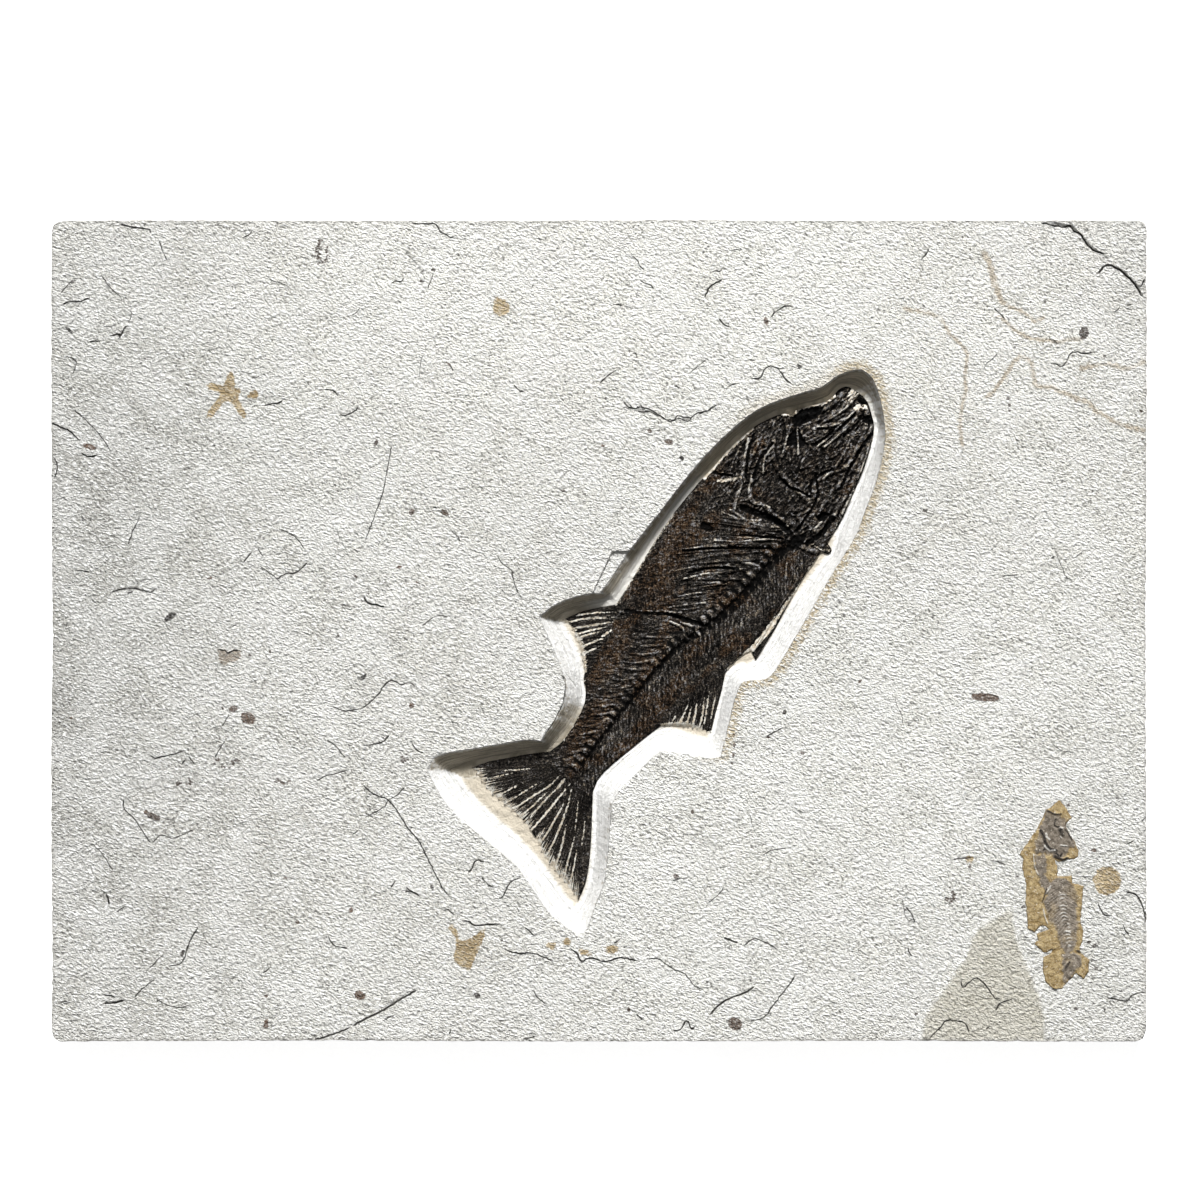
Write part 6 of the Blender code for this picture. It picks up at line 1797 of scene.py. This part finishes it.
def with_stains(g, tex, colour):
    """The tan patches, the thin stains and the lower layer of beige stone."""
    tan_depth = g.plus(g.attribute("tan"), g.times(tex.ragged, 3.4))
    tan_share = g.times(g.ease(tan_depth, -0.8, 0.1, 0.0, 0.95), g.ease(tex.grain, 0.62, 0.46, 0.78, 1.0))
    tan_tone = g.mix(g.ease(tex.middle, 0.35, 0.65), TAN_DARK, TAN_LIGHT)
    tan_tone = g.mix(g.attribute("dull"), tan_tone, TAN_DULL)
    colour = g.mix(tan_share, colour, tan_tone)
    stain = g.plus(g.attribute("stain"), g.times(tex.ragged, 5.0))
    stain_share = g.times(g.ease(stain, 1.1, -0.6, 0.0, 0.62), g.ease(tex.middle, 0.3, 0.55, 0.35, 1.0))
    colour = g.mix(stain_share, colour, (0.42, 0.32, 0.19))
    beige = g.ease(g.plus(g.attribute("layer"), g.times(tex.ragged, 2.5)), 0.0, 3.0, 0.0, 0.55)
    return g.mix(beige, colour, (0.47, 0.43, 0.32))


def with_specks(g, tex, colour):
    """The black and brown specks and the grey flecks."""
    speck = g.plus(g.attribute("speck"), g.times(tex.ragged, 2.4))
    speck_tone = g.mix(g.attribute("brown"), (0.022, 0.020, 0.018), (0.15, 0.085, 0.05))
    pepper = g.ease(g.noise(tex.at, 900.0, 3.0, 0.7), 0.40, 0.54, 0.7, 1.0)
    return g.mix(g.times(g.ease(speck, -0.2, 0.15, 0.0, 0.95), pepper), colour, speck_tone)


def with_halo(g, tex, colour):
    """The brown border that follows the recess along the fish's back, and a fainter one round its head."""
    halo = g.plus(g.attribute("halo"), g.times(tex.ragged, 11.0))
    dorsal = g.larger(g.ease(g.attribute("fish_b"), 0.0, 12.0), g.ease(g.attribute("fish_a"), 16.0, 2.0))
    along = g.ease(g.attribute("fish_a"), 232.0, 205.0)
    halo_share = g.times(g.ease(halo, 6.5, 2.6, 0.0, 0.9), g.times(dorsal, along))
    halo_share = g.times(halo_share, g.ease(tex.grain, 0.60, 0.44, 0.15, 1.0))
    colour = g.mix(halo_share, colour, (0.53, 0.43, 0.27))
    faint = g.times(g.ease(halo, 8.0, 1.0, 0.0, 0.4), g.ease(g.attribute("fish_a"), 90.0, 50.0))
    return g.mix(faint, colour, (0.58, 0.51, 0.38))


def cut_stone(g, tex, streak):
    """The scraped walls of the recess, with painted shade where they face away from the light and on the
    floor below them, a painted lit band at the foot of those walls, and the dusty floor round the fish.
    """
    cut_tone = g.mix(g.ease(streak, 0.35, 0.65), (0.74, 0.73, 0.70), (0.90, 0.895, 0.875))
    # painted shade: the tone of the walls that face away from the light and of the floor below them
    shadow_tone = g.mix(g.ease(streak, 0.38, 0.62), (0.30, 0.265, 0.20), DUST_AND_SHADE_TONE)
    # painted light: a paler band at the foot of the shaded walls along the middle of the fish
    ahead = g.ease(g.attribute("fish_a"), 92.0, 112.0)
    lit_foot = g.times(ahead, g.ease(g.attribute("fish_a"), 200.0, 184.0))
    lit_foot = g.times(lit_foot, g.ease(g.attribute("down"), 0.45, 0.8))
    shadow_tone = g.mix(lit_foot, shadow_tone, (0.74, 0.72, 0.67))
    cut_tone = g.mix(g.attribute("shaded"), cut_tone, shadow_tone)
    floor_reach = g.plus(g.attribute("fringe"), g.times(tex.ragged, 2.0))
    dust = g.minus(g.ease(floor_reach, 0.6, 4.2), g.attribute("shaded"))
    return g.mix(g.larger(dust, 0.0), cut_tone, DUST_AND_SHADE_TONE)


def limestone():
    """Pale felt-grained limestone, with its stains, specks and cracks, and the recess's scraped walls; shade
    is painted in the cracks, in the grain's hollows, on the plate's sides and on the walls that face away
    from the light, and light at those walls' foot.
    """
    g = Graph("limestone_surface")
    tex = SimpleNamespace(at=g.where())
    tex.middle = g.noise(tex.at, 95.0, 4.0, 0.6)
    tex.grain = g.noise(g.stretch(tex.at, (0.0021, 0.0010, 0.0010), -20.0), 1.0, 3.0, 0.5, 0.4)
    tex.fibre = g.noise(g.stretch(tex.at, (0.0022, 0.0012, 0.0012), -65.0), 1.0, 3.0, 0.5, 0.4)
    wander = g.noise(tex.at, 420.0, 4.0, 0.65)
    tex.ragged = g.minus(wander, 0.5)

    colour = face_stone(g, tex)
    colour = with_stains(g, tex, colour)
    colour = with_specks(g, tex, colour)
    colour = with_halo(g, tex, colour)
    # painted shade: each crack is darkened nearly to black, as shade falls in it
    crack = g.plus(g.attribute("crack"), g.times(tex.ragged, 0.6))
    colour = g.mix(g.ease(crack, 0.66, 0.22, 0.0, 0.95), colour, (0.055, 0.05, 0.042))
    streak_at = g.point(X=g.times(g.attribute("down"), 16.0), Y=g.times(g.attribute("fish_a"), 0.05),
                        Z=g.times(g.attribute("fish_b"), 0.05))
    streak = g.noise(streak_at, 1.0, 4.0, 0.65, 0.4)
    cut = g.ease(g.plus(g.attribute("halo"), g.times(tex.ragged, 0.8)), 0.12, -0.18)
    colour = g.mix(cut, colour, cut_stone(g, tex, streak))
    # painted shade: the plate's broken sides are much darker than its face
    side_grain = g.noise(g.stretch(tex.at, (0.016, 0.016, 0.0011)), 1.0, 4.0, 0.6)
    side_shade_tone = g.mix(g.ease(side_grain, 0.35, 0.65), (0.33, 0.315, 0.28), (0.48, 0.47, 0.44))
    colour = g.mix(g.attribute("side"), colour, side_shade_tone)
    fine = g.noise(tex.at, 1500.0, 3.0, 0.6)
    colour = g.mix(g.ease(fine, 0.3, 0.7, 0.0, 0.10), colour, (0.40, 0.39, 0.36))

    relief = g.plus(g.times(tex.grain, 0.7), g.times(tex.fibre, 0.55))
    relief = g.plus(relief, g.times(g.noise(tex.at, 480.0, 4.0, 0.6), 0.9))
    smoothed = g.plus(g.times(streak, 0.5), g.times(wander, 0.3))
    return g.finish(colour, 0.88, g.bump(g.blend(cut, relief, smoothed), 0.0034), Specular_IOR_Level=0.25)


def bone_flow(g):
    """The bone's grain, which runs along the head, away from the backbone and along the fins' strands."""
    on_fish = g.point(X=g.attribute("fish_a"), Y=g.attribute("fish_b"))
    head, above, below = (g.noise(g.stretch(on_fish, size, heading), 1.0, 3.0, 0.6, 0.5) for size, heading in
                          (((3.2, 1.5, 1.0), -14.0), ((4.2, 1.3, 1.0), 37.0), ((4.2, 1.4, 1.0), -52.0)))
    flow = g.blend(g.attribute("head"), g.blend(g.attribute("above"), below, above), head)
    fin_at = g.point(X=g.times(g.attribute("fin_across"), 1.9), Y=g.times(g.attribute("fin_along"), 3.5))
    strand = g.noise(fin_at, 1.0, 4.0, 0.7)
    return g.blend(g.attribute("fin"), flow, strand), strand


def bone_value(g, at, flow, fine):
    """How pale the bone is at each point, from its grain and its scales, with painted highlight on its
    crests, painted shade in its hollows, its grooves and the band above its backbone, and its dark joints.
    """
    soft = g.noise(at, 60.0, 3.0, 0.5)
    value = g.plus(g.times(flow, 0.72), g.times(fine, 0.76))
    value = g.minus(value, 0.270)
    # painted highlight on crests and painted shade in hollows, stronger on the head
    on_crest = g.scale(g.attribute("head"), 0.0, 1.0, 0.11, 0.17)
    value = g.plus(value, g.times(g.attribute("painted_relief_shading"), on_crest))
    value = g.plus(value, g.times(g.attribute("grain"), 0.07))
    value = g.plus(value, g.times(g.minus(soft, 0.5), 0.24))
    value = g.minus(value, g.times(g.attribute("smooth"), 0.03))
    # painted shade: the band above the backbone and the grooves, with the dark joints of the vertebrae
    value = g.minus(value, g.times(g.attribute("dark"), 0.24))
    broken = g.times(g.attribute("pale"), g.ease(g.noise(at, 320.0, 2.0, 0.5), 0.40, 0.60, 0.2, 1.0))
    return g.plus(value, g.times(broken, 0.30))


def stone_on_bone(g, fine, strand):
    """How much stone covers the bone: in the fish's stony places and between the strands of its fins."""
    between = g.plus(strand, g.times(g.attribute("bone"), -0.10))
    between = g.plus(between, g.times(g.attribute("fade"), 0.45))
    between = g.plus(between, g.times(g.minus(fine, 0.5), 0.35))
    fin_stone = g.times(g.ease(between, 0.60, 0.72), g.attribute("fin"))
    stone = g.ease(g.plus(g.attribute("matrix"), g.times(g.minus(fine, 0.5), 1.1)), 0.4, 0.6)
    return g.larger(stone, fin_stone)


def fish_bone():
    """Blackened bone and scale with pale flecks, brown tints, and stone between the fin rays."""
    g = Graph("fossil_bone_surface")
    at = g.where()
    fine = g.noise(at, 1250.0, 4.0, 0.65)
    middle = g.noise(at, 430.0, 4.0, 0.62)
    flow, strand = bone_flow(g)
    value = bone_value(g, at, flow, fine)
    colour = g.mix(g.ease(value, 0.40, 0.53), BONE_BLACK, BONE_DARK)
    warmth = g.times(g.attribute("warm"), g.ease(middle, 0.36, 0.6, 0.2, 0.9))
    colour = g.tint(colour, g.mix(warmth, (1.0, 1.0, 1.0), (1.95, 1.28, 0.76)))
    fleck_tone = g.mix(g.ease(middle, 0.42, 0.6), (0.21, 0.21, 0.22), (0.23, 0.19, 0.14))
    colour = g.mix(g.ease(value, 0.53, 0.66), colour, fleck_tone)
    colour = g.mix(g.ease(value, 0.66, 0.80, 0.0, 0.85), colour, BONE_PALE)

    stone_share = stone_on_bone(g, fine, strand)
    stone_tone = g.mix(g.ease(middle, 0.4, 0.6), (0.50, 0.43, 0.33), (0.74, 0.71, 0.64))
    colour = g.mix(stone_share, colour, stone_tone)
    gloss = g.mix(g.attribute("bone"), (0.75, 0.75, 0.75), g.grey(g.scale(fine, 0.3, 0.7, 0.3, 0.5)))
    gloss = g.mix(stone_share, gloss, (0.88, 0.88, 0.88))
    relief = g.plus(g.times(flow, 1.1), g.times(fine, 0.5))
    return g.finish(colour, gloss, g.bump(relief, 0.0011), Specular_IOR_Level=0.05)


def small_fish_bone():
    """Thin tan-stained film with a grey-brown body, darker bones and a painted shadow along its edge."""
    g = Graph("small_fossil_bone_surface")
    at = g.where()
    fine = g.noise(at, 1300.0, 4.0, 0.65)
    middle = g.noise(at, 330.0, 4.0, 0.6)
    soft = g.noise(at, 80.0, 3.0, 0.5)
    tan = g.mix(g.ease(middle, 0.35, 0.65), (0.19, 0.125, 0.045), (0.41, 0.31, 0.155))
    colour = g.mix(g.ease(fine, 0.42, 0.7, 0.0, 0.3), tan, (0.56, 0.48, 0.34))
    grey = g.mix(g.ease(middle, 0.35, 0.65), (0.095, 0.077, 0.058), (0.235, 0.20, 0.16))
    grey = g.mix(g.ease(g.attribute("ribs"), 0.35, 0.85, 0.0, 0.4), grey, (0.33, 0.29, 0.24))
    body = g.times(g.attribute("body"), g.ease(soft, 0.32, 0.5, 0.65, 1.0))
    colour = g.mix(body, colour, grey)
    # painted shadow: a dark line along the film's raised edge
    colour = g.mix(g.ease(g.attribute("edge"), 0.55, 0.1, 0.0, 0.55), colour, (0.12, 0.09, 0.055))
    dark = g.mix(g.ease(fine, 0.4, 0.6), (0.008, 0.007, 0.006), (0.06, 0.05, 0.042))
    colour = g.mix(g.times(g.attribute("bone"), g.ease(middle, 0.25, 0.5, 0.6, 1.0)), colour, dark)
    colour = g.mix(g.ease(g.noise(at, 800.0, 3.0, 0.6), 0.62, 0.68, 0.0, 0.6), colour, (0.70, 0.64, 0.54))
    pale = g.times(g.attribute("pale"), g.ease(fine, 0.34, 0.54, 0.35, 0.95))
    colour = g.mix(pale, colour, (0.68, 0.66, 0.61))
    relief = g.plus(middle, g.times(fine, 0.6))
    return g.finish(colour, g.scale(fine, 0.3, 0.7, 0.6, 0.8), g.bump(relief, 0.0009), Specular_IOR_Level=0.2)


def floor_surface():
    """A plain, nearly white studio floor."""
    g = Graph("studio_floor_surface")
    tone = g.mix(g.ease(g.noise(g.where(), 8.0, 2.0), 0.3, 0.7), (0.92, 0.92, 0.92), (0.94, 0.94, 0.94))
    g.shader.inputs["Emission Color"].default_value = (1.0, 1.0, 1.0, 1.0)
    return g.finish(tone, 0.9, g.bump(g.noise(g.where(), 600.0, 2.0), 0.0001), Emission_Strength=0.8)


# ---------------------------------------------------------------- stage, lights and camera

FLOOR_HALF = 12.0
FLOOR_GAP = 0.0004
LAMP_DISTANCE = 2.5
KEY_ENERGY = 6.4
KEY_SPREAD = math.radians(12)
FILL_ENERGY = 0.2
FILL_SPREAD = math.radians(60)
WORLD_STRENGTH = 0.17
LENS = 135.0
SENSOR = 36.0
VIEW_WIDTH = 0.6668
CAMERA_OVER = (0.00056, 0.0171)
CAMERA_LEVEL = 0.0243


def build_floor():
    """A square floor just under the plate."""
    half = FLOOR_HALF
    data = bpy.data.meshes.new("studio_floor")
    corners = [(-half, -half, 0), (half, -half, 0), (half, half, 0), (-half, half, 0)]
    data.from_pydata(corners, [], [(0, 1, 2, 3)])
    data.materials.append(floor_surface())
    floor = bpy.data.objects.new("studio_floor", data)
    floor.location.z = -FLOOR_GAP
    bpy.context.scene.collection.objects.link(floor)
    return floor


def add_light(name, kind, energy, heading, elevation, **settings):
    """A light that shines from a heading, in degrees from +Y towards +X, and an elevation above the plate."""
    data = bpy.data.lights.new(name, kind)
    data.energy = energy
    for key, value in settings.items():
        setattr(data, key, value)
    lamp = bpy.data.objects.new(name, data)
    turn, lift = math.radians(heading), math.radians(elevation)
    back = Vector((math.sin(turn) * math.cos(lift), math.cos(turn) * math.cos(lift), math.sin(lift)))
    lamp.location = back * LAMP_DISTANCE
    lamp.rotation_mode = "QUATERNION"
    lamp.rotation_quaternion = (-back).to_track_quat("-Z", "Y")
    bpy.context.scene.collection.objects.link(lamp)
    return lamp


def build_camera():
    """A long lens straight above the plate, as in the photo."""
    data = bpy.data.cameras.new("studio_camera")
    data.lens = LENS
    data.sensor_width = SENSOR
    data.clip_start = 0.05
    data.clip_end = 30.0
    camera = bpy.data.objects.new("studio_camera", data)
    camera.location = (*CAMERA_OVER, CAMERA_LEVEL + VIEW_WIDTH * LENS / SENSOR)
    bpy.context.scene.collection.objects.link(camera)
    bpy.context.scene.camera = camera


def build_world():
    """Faint white light from all round."""
    world = bpy.data.worlds.new("studio_world")
    world.use_nodes = True
    background = world.node_tree.nodes["Background"]
    background.inputs["Color"].default_value = (1.0, 1.0, 1.0, 1.0)
    background.inputs["Strength"].default_value = WORLD_STRENGTH
    bpy.context.scene.world = world
    bpy.context.scene.view_settings.view_transform = "Standard"


slab = build_slab()
fish = build_fish()
small_fish = build_small_fish()
for piece, node, slot in ((slab, "limestone_slab", "limestone"), (fish, "fossil_fish", "fossil_bone"),
                          (small_fish, "small_fossil_fish", "small_fossil_bone")):
    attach(piece, "root")
    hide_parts(node)
build_floor()
add_light("studio_key", "SUN", KEY_ENERGY, heading=2.0, elevation=35.0, angle=KEY_SPREAD)
add_light("studio_fill", "SUN", FILL_ENERGY, heading=-60.0, elevation=60.0, angle=FILL_SPREAD)
build_world()
build_camera()

for made in (slab, fish, small_fish):
    print(made.name, len(made.data.polygons), "triangles")
bpy.context.view_layer.update()
